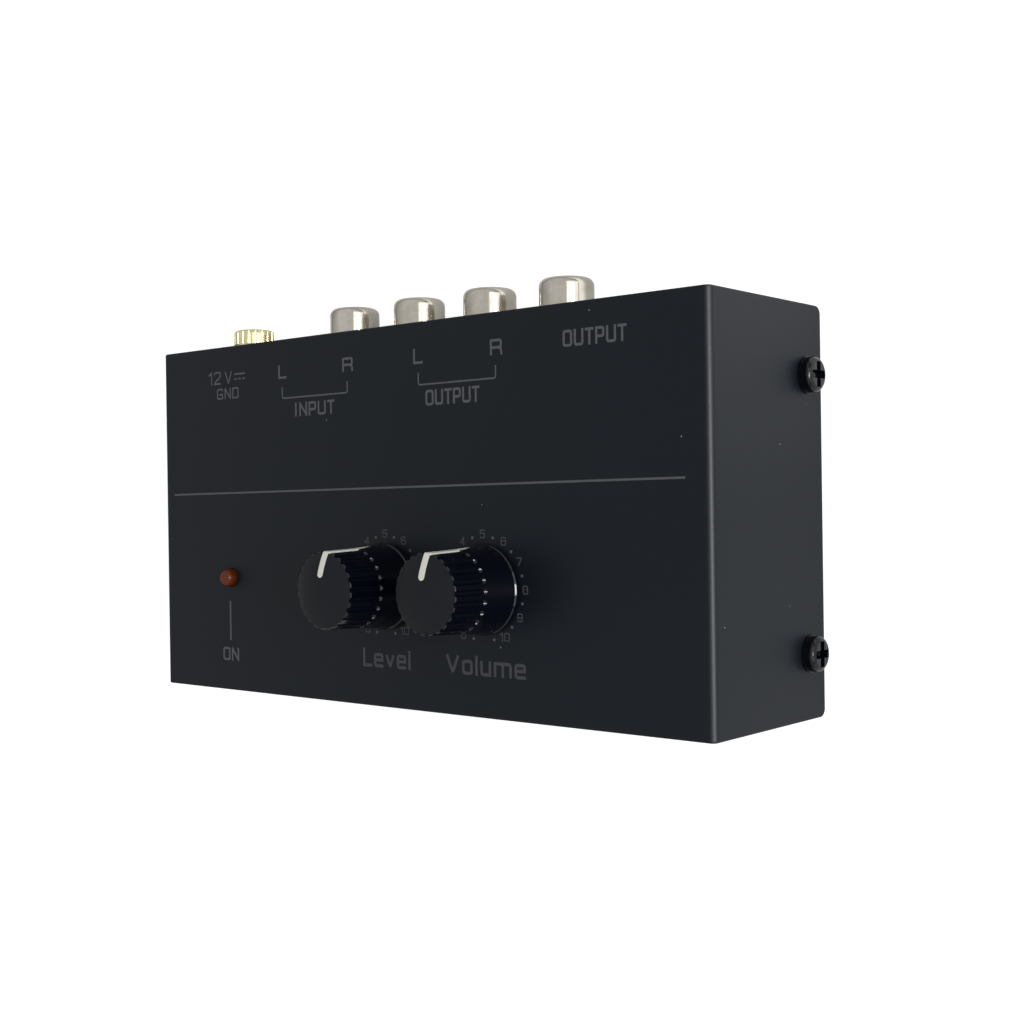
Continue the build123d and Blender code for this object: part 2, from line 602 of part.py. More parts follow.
def make_trs_block():
    """The moulded block of the stereo jack: round nose in the wall, bore, and the chamber of the springs."""
    x, back = END_JACK_X, REAR_IN - TRS_BLOCK_D
    half_w, half_h = TRS_BLOCK_W / 2, TRS_BLOCK_H / 2
    body = block((x - half_w, back, JACK_Z - half_h), (x + half_w, REAR_IN, JACK_Z + half_h))
    body += rod(TRS_NOSE_R, x, JACK_Z, REAR_IN - PASS, REAR_Y + TRS_NOSE_REACH)
    body -= rod(TRS_BORE_R, x, JACK_Z, back - PASS, REAR_Y + TRS_NOSE_REACH + PASS)
    room_w, room_h = TRS_CHAMBER_W / 2, TRS_CHAMBER_H / 2
    chamber_low = (x - room_w, back + TRS_BACK_WALL, JACK_Z - room_h)
    body -= block(chamber_low, (x + room_w, REAR_IN - TRS_FRONT_WALL, JACK_Z + room_h))
    for side, start in TRS_LEAVES.values():
        wall_x = x + side * (room_w - TRS_LEAF_T)
        low_x, high_x = sorted((wall_x - side * INSULATOR_GAP, wall_x + side * (TRS_LEAF_T + INSULATOR_GAP)))
        end = REAR_IN - start - TRS_LEAF_L
        slot_low = (low_x, end - INSULATOR_GAP, BOARD_TOP - PASS)
        body -= block(slot_low, (high_x, end + TRS_LEAF_W + INSULATOR_GAP, JACK_Z))
    return body


def make_trs_spring(side, start):
    """A leaf along the chamber's side with a round contact bump, and a tail down through the board."""
    outside = END_JACK_X + side * TRS_CHAMBER_W / 2
    inside = outside - side * TRS_LEAF_T
    low_x, high_x = sorted((inside, outside))
    end = REAR_IN - start - TRS_LEAF_L
    half = TRS_LEAF_W / 2
    leaf = block((low_x, end, JACK_Z - half), (high_x, REAR_IN - start, JACK_Z + half))
    leaf += post(TRS_BUMP_R, inside - side * TRS_LEAF_T, REAR_IN - start - half, JACK_Z - half, JACK_Z + half)
    leaf += block((low_x, end, LEAD_END), (high_x, end + TRS_LEAF_W, JACK_Z))
    slot_low = (low_x - DRILL_GAP, end - DRILL_GAP, BOARD_BOTTOM - PASS)
    drilled.append(block(slot_low, (high_x + DRILL_GAP, end + TRS_LEAF_W + DRILL_GAP, BOARD_TOP + PASS)))
    return leaf


# ---- Ground terminal -----------------------------------------------------------------------------
GROUND_AXIS_Z = BASE_Z + GROUND_Z


def make_ground_screw():
    """The thumb screw: a fluted round head with a rounded edge, and a shank through the wall and the nut."""
    under, end = REAR_Y + GROUND_WASHER_T, REAR_Y + GROUND_REACH
    edge_r = GROUND_HEAD_R - GROUND_EDGE_R
    outline = [
        Polyline(
            (edge_r, end), (0, end), (0, REAR_Y - GROUND_SHANK_L), (GROUND_SHANK_R, REAR_Y - GROUND_SHANK_L),
            (GROUND_SHANK_R, under), (GROUND_HEAD_R, under), (GROUND_HEAD_R, end - GROUND_EDGE_R),
        ),
        CenterArc((edge_r, end - GROUND_EDGE_R), GROUND_EDGE_R, 0, 90),
    ]
    screw = turned_edges(outline)
    groove_place = GROUND_HEAD_R + GROUND_FLUTE_R - GROUND_FLUTE_DEPTH
    groove = rod(GROUND_FLUTE_R, groove_place, 0, under - PASS, end + PASS)
    turn = 360 / GROUND_FLUTES
    screw -= [Rot(0, turn * i, 0) * groove for i in range(GROUND_FLUTES)]
    return Pos(GROUND_X, 0, GROUND_AXIS_Z) * screw


def make_ground_washer():
    """The captive washer under the head, which travels with the screw and presses on a cable's lug."""
    bore_r = GROUND_SHANK_R + GROUND_SHANK_GAP
    top = REAR_Y + GROUND_WASHER_T
    ring = turned((bore_r, REAR_Y), (GROUND_WASHER_R, REAR_Y), (GROUND_WASHER_R, top), (bore_r, top))
    return Pos(GROUND_X, 0, GROUND_AXIS_Z) * ring


def make_ground_nut():
    """The hexagonal nut inside the case that the thumb screw turns in."""
    front = REAR_IN - GROUND_LUG_T - GROUND_NUT_T
    hexagon = extrude(RegularPolygon(GROUND_NUT_FLATS / 2, 6, major_radius=False), amount=GROUND_NUT_T)
    nut = Pos(GROUND_X, front, GROUND_AXIS_Z) * Rot(-90, 0, 0) * hexagon
    return nut - rod(GROUND_SHANK_R + GROUND_SHANK_GAP, GROUND_X, GROUND_AXIS_Z, front - PASS, REAR_Y)


def make_ground_lug():
    """The solder lug between the nut and the wall, with its tail to the left."""
    front = REAR_IN - GROUND_LUG_T
    lug = rod(GROUND_LUG_R, GROUND_X, GROUND_AXIS_Z, front, REAR_IN)
    tail_low = (GROUND_X - GROUND_LUG_L, front, GROUND_AXIS_Z - GROUND_LUG_W / 2)
    lug += block(tail_low, (GROUND_X, REAR_IN, GROUND_AXIS_Z + GROUND_LUG_W / 2))
    return lug - rod(GROUND_HOLE_R, GROUND_X, GROUND_AXIS_Z, front - PASS, REAR_Y)


def make_ground_wire():
    """The short insulated wire from the lug's tail down to the board."""
    y = REAR_IN - GROUND_LUG_T - GROUND_WIRE_R
    start_x = GROUND_X - GROUND_LUG_R - GROUND_WIRE_R
    drop_x = GROUND_X - GROUND_WIRE_X
    corners = [(start_x, y, GROUND_AXIS_Z), (drop_x, y, GROUND_AXIS_Z), (drop_x, y, LEAD_END)]
    path = FilletPolyline(*corners, radius=GROUND_WIRE_BEND)
    drill(drop_x, y, GROUND_WIRE_R)
    return sweep(Plane(corners[0], z_dir=(-1, 0, 0)) * Circle(GROUND_WIRE_R), path)


# ---- Knobs ---------------------------------------------------------------------------------------
def plain_knob():
    """The knob's outside without flutes, on the panel at the origin: a skirt with a lip, and a domed face."""
    lip_top = KNOB_GAP + KNOB_LIP_H
    dome = TangentArc((0, KNOB_FACE_H), (KNOB_RIM_R, KNOB_RIM_H), tangent=(1, 0))
    side = Polyline(
        (KNOB_RIM_R, KNOB_RIM_H), (KNOB_WAIST_R, KNOB_WAIST_H),
        (KNOB_SKIRT_R - KNOB_LIP_STEP, lip_top + KNOB_LIP_SLOPE_H), (KNOB_SKIRT_R, lip_top),
        (KNOB_SKIRT_R, KNOB_GAP), (0, KNOB_GAP), (0, KNOB_FACE_H),
    )
    section = make_face(dome + side)
    rim = section.vertices().sort_by_distance((KNOB_RIM_R, KNOB_RIM_H))[0]
    return upright(revolve(fillet(rim, KNOB_RIM_ROUNDING), Axis.Y))


def fluted_knob():
    """The knob's outside with its flutes, which follow its slope, and a ridge straight back."""
    lean = degrees(atan2(KNOB_WAIST_R - KNOB_RIM_R, KNOB_RIM_H - KNOB_WAIST_H))
    reach = KNOB_FLUTE_R - KNOB_FLUTE_DEPTH
    flute = post(KNOB_FLUTE_R, 0, reach, 0, KNOB_FACE_H - KNOB_WAIST_H + PASS)
    flute += Pos(0, reach, -KNOB_RUNOUT / 2) * Cone(0, KNOB_FLUTE_R, KNOB_RUNOUT)
    flute = Pos(0, KNOB_WAIST_R, KNOB_WAIST_H) * Rot(lean, 0, 0) * flute
    turn = 360 / KNOB_FLUTES
    return plain_knob() - [Rot(0, 0, turn * (i + 0.5)) * flute for i in range(KNOB_FLUTES)]


def pointer_tool():
    """What the white pointer fills: a bar in the face with a round end, and a pointed side stripe."""
    half = POINTER_W / 2
    floor = KNOB_RIM_H - POINTER_DEPTH
    over = KNOB_FACE_H + PASS
    back = KNOB_RIM_R - POINTER_DEPTH
    far = KNOB_SKIRT_R + PASS
    bar = block((-half, POINTER_INNER + half, floor), (half, far, over))
    bar += post(half, 0, POINTER_INNER + half, floor, over)
    taper = POINTER_END_H + POINTER_TIP
    corners = [(-half, over), (-half, taper), (0, POINTER_END_H), (half, taper), (half, over)]
    stripe = extrude(Plane.XZ * make_face(Polyline(*corners, close=True)), amount=back - far)
    return bar + Pos(0, back, 0) * stripe


def make_knob(x, angle, lift):
    """A fluted knob with a smooth skirt, a hollow under it and a boss that takes the shaft."""
    roof = KNOB_FACE_H - KNOB_CROWN
    boss_bottom = KNOB_GAP + KNOB_BOSS_LIFT
    knob = fluted_knob()
    boss = post(SHAFT_R + KNOB_BOSS_WALL, 0, 0, boss_bottom, roof)
    knob -= post(KNOB_HOLLOW_R, 0, 0, KNOB_GAP - PASS, roof) - boss
    knob -= post(SHAFT_R + SHAFT_FIT, 0, 0, KNOB_GAP, roof)
    knob -= pointer_tool()
    return Pos(x, DIAL_Y, TOP_Z + lift) * Rot(0, 0, -angle) * knob


def make_pointer(x, angle, lift):
    """The white pointer, flush with the knob's face and side and full across the flutes beside it."""
    return Pos(x, DIAL_Y, TOP_Z + lift) * Rot(0, 0, -angle) * (plain_knob() & pointer_tool())


# ---- Potentiometers ------------------------------------------------------------------------------
ROTOR_LOW = BOARD_TOP + TRACK_T + ROTOR_GAP
ROTOR_HIGH = POT_TOP - POT_ROOF - ROTOR_GAP
BUSHING_TOP = POT_TOP + BUSHING_H
STOP_SWEEP = 360 - DIAL_TRAVEL - LUG_SWEEP - 2 * STOP_PLAY


def make_pot_case(x):
    """The metal can: a square box over a round chamber, with a fixed stop block at the front."""
    case = block((-POT_HALF_W, -POT_FRONT, BOARD_TOP), (POT_HALF_W, POT_BACK, POT_TOP))
    track_top = BOARD_TOP + TRACK_T
    inside = POT_HALF_W - POT_SKIN
    case -= block((-inside, POT_SKIN - POT_FRONT, BOARD_TOP - PASS), (inside, POT_BACK - POT_SKIN, track_top))
    chamber = post(POT_BORE_R, 0, 0, track_top, POT_TOP - POT_ROOF)
    stop = sector(POT_BORE_R + PASS, 180, STOP_SWEEP, track_top, POT_TOP - POT_ROOF)
    stop -= post((ROTOR_R + POT_BORE_R) / 2 - ROTOR_GAP / 2, 0, 0, BOARD_TOP, POT_TOP)
    case -= chamber - stop
    case -= post(BUSHING_SPIGOT_R + INSULATOR_GAP, 0, 0, POT_TOP - POT_ROOF - PASS, POT_TOP + PASS)
    return Pos(x, DIAL_Y, 0) * case


def make_pot_bushing(x):
    """The brass bushing that guides the shaft, with a flange on the can and a spigot in its roof."""
    bore_r = NECK_R + NECK_GAP
    flange_top = POT_TOP + BUSHING_FLANGE_T
    spigot_low = POT_TOP - POT_ROOF
    outline = upright(
        turned(
            (bore_r, spigot_low), (BUSHING_SPIGOT_R, spigot_low), (BUSHING_SPIGOT_R, POT_TOP),
            (BUSHING_FLANGE_R, POT_TOP), (BUSHING_FLANGE_R, flange_top), (BUSHING_R, flange_top),
            (BUSHING_R, BUSHING_TOP), (bore_r, BUSHING_TOP),
        )
    )
    return Pos(x, DIAL_Y, 0) * outline


def make_pot_shaft(x, angle):
    """The shaft: rotor with its stop lug in the can, neck in the bushing, and the knurled split end."""
    shoulder = BUSHING_TOP + SHOULDER_GAP
    shaft = post(ROTOR_R, 0, 0, ROTOR_LOW, ROTOR_HIGH)
    shaft += sector(ROTOR_LUG_R, 0, LUG_SWEEP, ROTOR_LOW, ROTOR_HIGH)
    shaft += post(NECK_R, 0, 0, ROTOR_HIGH, shoulder)
    end = post(SHAFT_R, 0, 0, shoulder, SHAFT_TOP)
    knurl_low = SHAFT_TOP - SHAFT_SLOT_DEPTH
    groove = post(SHAFT_TOOTH_R, 0, SHAFT_R + SHAFT_TOOTH_R / 2, knurl_low, SHAFT_TOP + PASS)
    turn = 360 / SHAFT_TEETH
    end -= [Rot(0, 0, turn * i) * groove for i in range(SHAFT_TEETH)]
    half = SHAFT_SLOT_W / 2
    end -= block((-SHAFT_R - PASS, -half, knurl_low), (SHAFT_R + PASS, half, SHAFT_TOP + PASS))
    return Pos(x, DIAL_Y, 0) * Rot(0, 0, -angle) * (shaft + end)


def make_pot_wiper(x, angle):
    """The sprung ring under the rotor, with two fingers that run on the track."""
    top = ROTOR_LOW
    low = top - WIPER_T
    finger_low = BOARD_TOP + TRACK_T + WIPER_LIFT
    middle = (NECK_R + ROTOR_R / 2) / 2
    ring = post(NECK_R, 0, 0, low, top) - post(ROTOR_R / 2, 0, 0, low - PASS, top + PASS)
    fingers = [post(WIPER_T, side * middle, 0, finger_low, low) for side in (-1, 1)]
    return Pos(x, DIAL_Y, 0) * Rot(0, 0, -angle) * (ring + fingers)


def make_pot_track(x):
    """The printed track that closes the bottom of the can."""
    edge = POT_SKIN + INSULATOR_GAP
    low = (x + edge - POT_HALF_W, DIAL_Y + edge - POT_FRONT, BOARD_TOP)
    return block(low, (x + POT_HALF_W - edge, DIAL_Y + POT_BACK - edge, BOARD_TOP + TRACK_T))


def make_pot_terminals(x):
    """Six flat terminals in two rows of three, one row for each channel."""
    pitch, rows = 2.5, (-4.5, -2.0)
    places = [(x + pitch * i, DIAL_Y + row) for row in rows for i in (-1, 0, 1)]
    return Compound(children=[tail(px, py, 0.8, 0.3, BOARD_TOP) for px, py in places])


# ---- Power light ---------------------------------------------------------------------------------
LED_TOP = TOP_Z + LED_RISE
LED_BOTTOM = LED_TOP - LED_LENGTH
LED_LEGS_X = (LED_X - LED_LEG_HALF, LED_X + LED_LEG_HALF)


def make_led_lens():
    """The tinted body of the light, with a round dome above the panel and a flange at its foot."""
    dome_from = LED_TOP - LED_R
    flange_top = LED_BOTTOM + LED_FLANGE_T
    outline = [
        Polyline(
            (0, LED_TOP), (0, LED_BOTTOM), (LED_FLANGE_R, LED_BOTTOM), (LED_FLANGE_R, flange_top),
            (LED_R, flange_top), (LED_R, dome_from),
        ),
        CenterArc((0, dome_from), LED_R, 0, 90),
    ]
    lens = Pos(LED_X, LED_Y, 0) * upright(turned_edges(outline))
    sunk = LED_BOTTOM + LED_LEG_SUNK + INSULATOR_GAP
    return lens - [post(LED_LEG_R + INSULATOR_GAP, x, LED_Y, LED_BOTTOM - PASS, sunk) for x in LED_LEGS_X]


def make_led_legs():
    """The two wire legs from the light down through the board."""
    return Compound(children=[lead(x, LED_Y, LED_BOTTOM + LED_LEG_SUNK, LED_LEG_R) for x in LED_LEGS_X])


def make_led_spacer():
    """The plastic tube that holds the light at the height of the panel."""
    spacer = post(LED_SPACER_R, LED_X, LED_Y, BOARD_TOP, LED_BOTTOM)
    return spacer - [post(LED_LEG_R + INSULATOR_GAP, x, LED_Y, BOARD_TOP - PASS, LED_TOP) for x in LED_LEGS_X]


# ---- Small components ----------------------------------------------------------------------------
def make_electrolytic_capacitors():
    """Upright cans with a rolled groove near the bottom and two leads each."""
    groove_h, groove_r = 1.8, 0.35
    cans = []
    places = [(x, REAR_Y - CAN_FROM_REAR) for x in CAN_REAR_XS]
    places += [(x, FRONT_Y + CAN_FROM_FRONT) for x in CAN_FRONT_XS]
    for x, y in places:
        outline = turned(
            (0, 0), (CAN_R, 0), (CAN_R, groove_h - groove_r), (CAN_R - groove_r, groove_h),
            (CAN_R, groove_h + groove_r), (CAN_R, CAN_H), (0, CAN_H),
        )
        can = Pos(x, y, BOARD_TOP) * upright(outline)
        cans.append(can + [lead(x + side * CAN_PITCH / 2, y, BOARD_TOP) for side in (-1, 1)])
    return Compound(children=cans)


def make_film_capacitors():
    """Upright box capacitors with two leads each."""
    width, depth, height = FILM_SIZE
    boxes = []
    y = BLOCK_FRONT - PHONO_BLOCK_D - FILM_GAP - depth / 2
    for x in FILM_XS:
        body = Pos(x, y, BOARD_TOP + height / 2) * Box(width, depth, height)
        boxes.append(body + [lead(x + side * FILM_PITCH / 2, y, BOARD_TOP) for side in (-1, 1)])
    return Compound(children=boxes)


def axial(x, y, radius, length):
    """A component that lies along Y on the board, its two leads bent down at the ends."""
    z = BOARD_TOP + radius
    ends = (y - RESISTOR_PITCH / 2, y + RESISTOR_PITCH / 2)
    body = rod(radius, x, z, y - length / 2, y + length / 2)
    body += rod(WIRE_R, x, z, ends[0], ends[1])
    for end in ends:
        body += lead(x, end, z)
        body += Pos(x, end, z) * Sphere(WIRE_R)
    return body


def make_resistors():
    """The axial resistors, in two rows."""
    rows = {REAR_Y - RESISTOR_FROM_REAR: RESISTOR_REAR_ROW, FRONT_Y + RESISTOR_FROM_FRONT: RESISTOR_FRONT_ROW}
    places = [(x + RESISTOR_GAP * i, y) for y, (x, count) in rows.items() for i in range(count)]
    return Compound(children=[axial(x, y, RESISTOR_R, RESISTOR_L) for x, y in places])


def make_protection_diode():
    """The diode behind the power jack that guards against a plug of the wrong polarity."""
    return axial(DIODE_X, FRONT_Y + DIODE_FROM_FRONT, DIODE_R, DIODE_L)


def make_voltage_regulator():
    """The small half-round regulator on its three leads."""
    x, y = REGULATOR_X, REAR_Y - REGULATOR_FROM_REAR
    low = BOARD_TOP + REGULATOR_LIFT
    body = post(REGULATOR_R, x, y, low, low + REGULATOR_H)
    flat = Box(3 * REGULATOR_R, 2 * REGULATOR_R, 2 * REGULATOR_H)
    body -= Pos(x, y - 1.5 * REGULATOR_R, low + REGULATOR_H / 2) * flat
    return body + [lead(x + side * CHIP_PIN_PITCH / 2, y, low) for side in (-1, 0, 1)]


def make_op_amp_chips():
    """The two eight-pin amplifier chips, one for each gain stage."""
    width, depth, height = CHIP_SIZE
    middle = BOARD_TOP + CHIP_LIFT + height / 2
    chips = []
    y = REAR_Y - CHIP_FROM_REAR
    for x in CHIP_XS:
        chip = Pos(x, y, middle) * Box(width, depth, height)
        for i in range(CHIP_PINS):
            pin_x = x + (i - (CHIP_PINS - 1) / 2) * CHIP_PIN_PITCH
            for side in (-1, 1):
                pin_y = y + side * CHIP_ROW / 2
                chip += tail(pin_x, pin_y, CHIP_PIN_W, CHIP_PIN_T, middle)
                near, far = sorted((y + side * (depth / 2 - CHIP_PIN_T), pin_y + side * CHIP_PIN_T / 2))
                half = CHIP_PIN_W / 2
                chip += block((pin_x - half, near, middle - CHIP_PIN_T), (pin_x + half, far, middle))
        chips.append(chip)
    return Compound(children=chips)


# ---- Every node and its file ---------------------------------------------------------------------
def all_parts():
    """Every sub-part by name. The board comes last, because the others note the holes that they need."""
    parts = {
        "top_cover": make_top_cover(),
        "base_tray": make_base_tray(),
        "cover_screws": make_cover_screws(),
        "rubber_feet": make_rubber_feet(),
        "board_standoffs": make_board_standoffs(),
        "board_screws": make_board_screws(),
        "dc_jack_block": make_dc_block(),
        "dc_jack_pin": make_dc_pin(),
        "dc_jack_spring": make_dc_spring(),
        "stereo_jack_block": make_trs_block(),
        "ground_thumb_screw": make_ground_screw(),
        "ground_washer": make_ground_washer(),
        "ground_nut": make_ground_nut(),
        "ground_lug": make_ground_lug(),
        "ground_wire": make_ground_wire(),
        "led_lens": make_led_lens(),
        "led_legs": make_led_legs(),
        "led_spacer": make_led_spacer(),
        "electrolytic_capacitors": make_electrolytic_capacitors(),
        "film_capacitors": make_film_capacitors(),
        "resistors": make_resistors(),
        "protection_diode": make_protection_diode(),
        "voltage_regulator": make_voltage_regulator(),
        "op_amp_chips": make_op_amp_chips(),
    }
    for name, x in PHONO_X.items():
        parts[f"{name}_jack_barrel"] = make_phono_barrel(x)
        parts[f"{name}_jack_block"] = make_phono_block(x)
        parts[f"{name}_jack_insulator"] = make_phono_insulator(x)
        parts[f"{name}_jack_contact"] = make_phono_contact(x)
    for name, (side, start) in TRS_LEAVES.items():
        parts[f"stereo_jack_{name}_spring"] = make_trs_spring(side, start)
    for name, (x, angle, lift) in DIALS.items():
        parts[f"{name}_knob"] = make_knob(x, angle, lift)
        parts[f"{name}_knob_pointer"] = make_pointer(x, angle, lift)
        parts[f"{name}_pot_case"] = make_pot_case(x)
        parts[f"{name}_pot_bushing"] = make_pot_bushing(x)
        parts[f"{name}_pot_shaft"] = make_pot_shaft(x, angle)
        parts[f"{name}_pot_wiper"] = make_pot_wiper(x, angle)
        parts[f"{name}_pot_track"] = make_pot_track(x)
        parts[f"{name}_pot_terminals"] = make_pot_terminals(x)
    parts["circuit_board"] = make_circuit_board()
    return parts


os.makedirs("parts", exist_ok=True)
for node, part in all_parts().items():
    export_step(part, f"parts/{node}.step")
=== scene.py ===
# %% [markdown]
# # A small phono preamplifier in Blender
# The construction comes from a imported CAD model: its parts are at their real size and in their real place,
# and they stay as they are. This lesson gives them their finishes, prints the lettering on the panel, and sets
# up the light and the camera.
#
# Everything is in metres, so a helper named MM keeps the sizes readable.

# %% Load the fixed frame
import json
import math
import bmesh
import bpy
from mathutils import Matrix, Vector


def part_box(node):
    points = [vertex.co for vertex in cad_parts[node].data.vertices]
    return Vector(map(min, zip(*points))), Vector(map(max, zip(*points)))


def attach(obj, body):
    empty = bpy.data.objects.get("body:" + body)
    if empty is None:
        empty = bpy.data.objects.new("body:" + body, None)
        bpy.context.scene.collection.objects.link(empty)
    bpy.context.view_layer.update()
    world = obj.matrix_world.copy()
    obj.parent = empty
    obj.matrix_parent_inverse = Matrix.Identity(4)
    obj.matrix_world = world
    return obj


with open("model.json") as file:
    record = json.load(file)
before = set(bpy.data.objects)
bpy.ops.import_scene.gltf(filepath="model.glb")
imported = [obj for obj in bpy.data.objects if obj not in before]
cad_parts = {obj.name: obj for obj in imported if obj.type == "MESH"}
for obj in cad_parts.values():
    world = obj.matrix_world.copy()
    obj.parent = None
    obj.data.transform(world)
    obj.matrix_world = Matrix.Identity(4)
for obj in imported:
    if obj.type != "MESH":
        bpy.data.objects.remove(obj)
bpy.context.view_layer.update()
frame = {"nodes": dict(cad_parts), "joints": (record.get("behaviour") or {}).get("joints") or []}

MM = 0.001
nodes = frame["nodes"]

# %% [markdown]
# ## Places taken from the frame
# A size that the CAD model already holds is read from it instead of being typed again. The panel is the top of
# the cover, the dials' axes are those of their joints, and the power light is where its lens is.

# %% Read the panel, the dials and the light
cover_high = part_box("top_cover")[1]
PANEL_Z = cover_high.z
SIDE_X = cover_high.x
joints = {joint["name"]: joint for joint in frame["joints"]}
dial_axis = {dial: Vector(joints[f"{dial}_turn"]["pos_m"]) for dial in ("level", "volume")}
light_low, light_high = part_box("led_lens")
light_axis = (light_low + light_high) / 2
print("panel height", round(PANEL_Z / MM, 2), "mm")
print("dials at", [tuple(round(c / MM, 2) for c in axis.xy) for axis in dial_axis.values()])

# %% [markdown]
# ## Small helpers for materials
# A colour picked on screen is an sRGB number, but a shader works in linear light, so one function turns a hex
# value into what a socket wants. A second function adds a node, sets its options and fills its inputs, either
# with a value or with a link from another node. The nodes that nearly every finish needs get a short name of
# their own: noise, a ramp from one range to another, a mix of two colours, and a bump. With these, each finish
# below is a short list of nodes.

# %% Colour and node helpers
def srgb(text):
    """Turns an sRGB hex value such as "8090a0" into a linear colour."""
    parts = [int(text[i:i + 2], 16) / 255 for i in (0, 2, 4)]
    return tuple(c / 12.92 if c <= 0.04045 else ((c + 0.055) / 1.055) ** 2.4 for c in parts) + (1.0,)


def add(material, kind, inputs=None, **options):
    """Adds a node, sets its options, and fills its inputs with values or with links."""
    made = material.node_tree.nodes.new("ShaderNode" + kind)
    for name, value in options.items():
        setattr(made, name, value)
    for name, value in (inputs or {}).items():
        socket = made.inputs[name]
        if isinstance(value, bpy.types.NodeSocket):
            material.node_tree.links.new(value, socket)
        else:
            socket.default_value = value
    return made


def new_material(name):
    """An empty material, and the coordinates of the object that wears it."""
    material = bpy.data.materials.new(name)
    material.use_nodes = True
    material.node_tree.nodes.clear()
    return material, add(material, "TexCoord").outputs["Object"]


def surface(material, **inputs):
    """Ends a material in a Principled shader. An input's name is written with _ for a space."""
    shader = add(material, "BsdfPrincipled", {name.replace("_", " "): value for name, value in inputs.items()})
    add(material, "OutputMaterial", {"Surface": shader.outputs["BSDF"]})
    return material


def per_mm(size):
    """The scale of a pattern whose features are this many millimetres apart."""
    return 1 / (size * MM)


def noise(material, place, size, detail, roughness=0.5):
    """Noise whose features are this many millimetres apart."""
    inputs = {"Vector": place, "Scale": per_mm(size), "Detail": detail, "Roughness": roughness}
    return add(material, "TexNoise", inputs).outputs["Fac"]


def ramp(material, value, low, high, start=0.0, end=1.0):
    """Goes from low to high while the value goes from start to end, and stays level outside."""
    inputs = {"Value": value, "From Min": start, "From Max": end, "To Min": low, "To Max": high}
    return add(material, "MapRange", inputs).outputs["Result"]


def blend(material, factor, first, second):
    """Mixes two colours."""
    return add(material, "Mix", {"Factor": factor, "A": first, "B": second}, data_type="RGBA").outputs[2]


def bump(material, height, strength, depth, **more):
    """A normal shaped by a height, for relief of this many millimetres."""
    inputs = {"Height": height, "Strength": strength, "Distance": depth * MM}
    return add(material, "Bump", {**inputs, **more}).outputs["Normal"]


def math_node(material, operation, *values):
    """One step of arithmetic."""
    return add(material, "Math", dict(enumerate(values)), operation=operation).outputs[0]


print("8090a0 in linear light:", tuple(round(c, 3) for c in srgb("8090a0")))

# %% [markdown]
# ## The case: fine black powder coat on steel
# Powder is sprayed on dry and melted in an oven, so it flows into a skin that is nearly even but keeps a faint
# orange peel, about a millimetre and a half from crest to crest, and a finer grain. It could be shown with a
# displaced mesh, but the waves are a few microns high, so a bump map is enough. The powder pulls thin over the
# two sharp folds and hands polish it there, so it shines more along them. A few grains of dust lie on it, because
# black shows them so well.

# %% Powder coat
FLAT_SHINE, FOLD_SHINE = 0.22, 0.60  # specular level of the faces, and of the folds where hands polish them
FOLD_START, FOLD_END = 0.8 * MM, 0.4 * MM  # the polish comes in between these depths from the outer faces
DUST_GRAIN = 0.018  # radius of a grain of dust, as a share of the distance between two cells


def powder_coat(name):
    material, place = new_material(name)
    # The real grain is near 0.05 mm, too fine to show, so it is drawn at 0.3 mm.
    grain = noise(material, place, 0.3, 2.0)
    waves = bump(material, noise(material, place, 1.5, 1.0), 0.05, 0.05)
    skin = bump(material, grain, 0.10, 0.02, Normal=waves)
    tone = blend(material, noise(material, place, 45, 2.0), srgb("0a1118"), srgb("0e151d"))
    # A grain of dust shows where the middle of a cell happens to lie in the surface.
    cells = add(material, "TexVoronoi", {"Vector": place, "Scale": per_mm(5.5)}).outputs["Distance"]
    dust = math_node(material, "LESS_THAN", cells, DUST_GRAIN)
    colour = blend(material, dust, tone, srgb("8b8f93"))
    where = add(material, "SeparateXYZ", {"Vector": place}).outputs
    aside = math_node(material, "ABSOLUTE", where["X"])
    end = ramp(material, aside, 0.0, 1.0, SIDE_X - FOLD_START, SIDE_X - FOLD_END)
    high = ramp(material, where["Z"], 0.0, 1.0, PANEL_Z - FOLD_START, PANEL_Z - FOLD_END)
    shine = ramp(material, math_node(material, "MULTIPLY", end, high), FLAT_SHINE, FOLD_SHINE)
    rough = ramp(material, grain, 0.40, 0.50)
    return surface(material, Base_Color=colour, Roughness=rough, Specular_IOR_Level=shine, Normal=skin)


cover_coat = powder_coat("powder_coated_steel_cover")
tray_coat = powder_coat("powder_coated_steel_tray")
print("powder coat:", cover_coat.name, tray_coat.name)

# %% [markdown]
# ## Plated and turned metals
# The jacks are brass turned on a lathe and plated with nickel, the ground screw is plated with gold, and the
# hidden leaves and legs are zinc or tin. They differ in colour and in how rough the plating is, and share one
# build: a turned part keeps fine rings around its axis, and handling leaves cloudy patches. A noise pattern
# draws the rings when it is stretched across the axis, and the streaks of a rolled strip when it is stretched
# along the strip, so the function takes a scale for each direction.

# %% Plated metals
AROUND_Y, AROUND_Z = (0.15, 1, 0.15), (0.15, 0.15, 1)  # rings around the jacks' axes, and around the dials'
ALONG_Y, EVEN = (1, 0.15, 1), (1, 1, 1)  # streaks of a rolled strip, and no direction
PATCH_START, PATCH_END = 0.35, 0.70  # the noise at which a cloudy patch begins, and at which it is full
PATCH_DULLS = 0.12  # how much rougher a patch is than the metal around it


def plated(name, light, dark, rough, pattern=EVEN):
    material, place = new_material(name)
    turned = add(material, "Mapping", {"Vector": place, "Scale": pattern}).outputs["Vector"]
    clouds = noise(material, place, 2.2, 4.0, roughness=0.6)
    patches = ramp(material, clouds, 0.0, 1.0, PATCH_START, PATCH_END)
    colour = blend(material, patches, srgb(light), srgb(dark))
    gloss = ramp(material, patches, rough, rough + PATCH_DULLS)
    cut = bump(material, noise(material, turned, 0.35, 3.0), 0.25, 0.03)
    return surface(material, Base_Color=colour, Metallic=1.0, Roughness=gloss, Normal=cut)


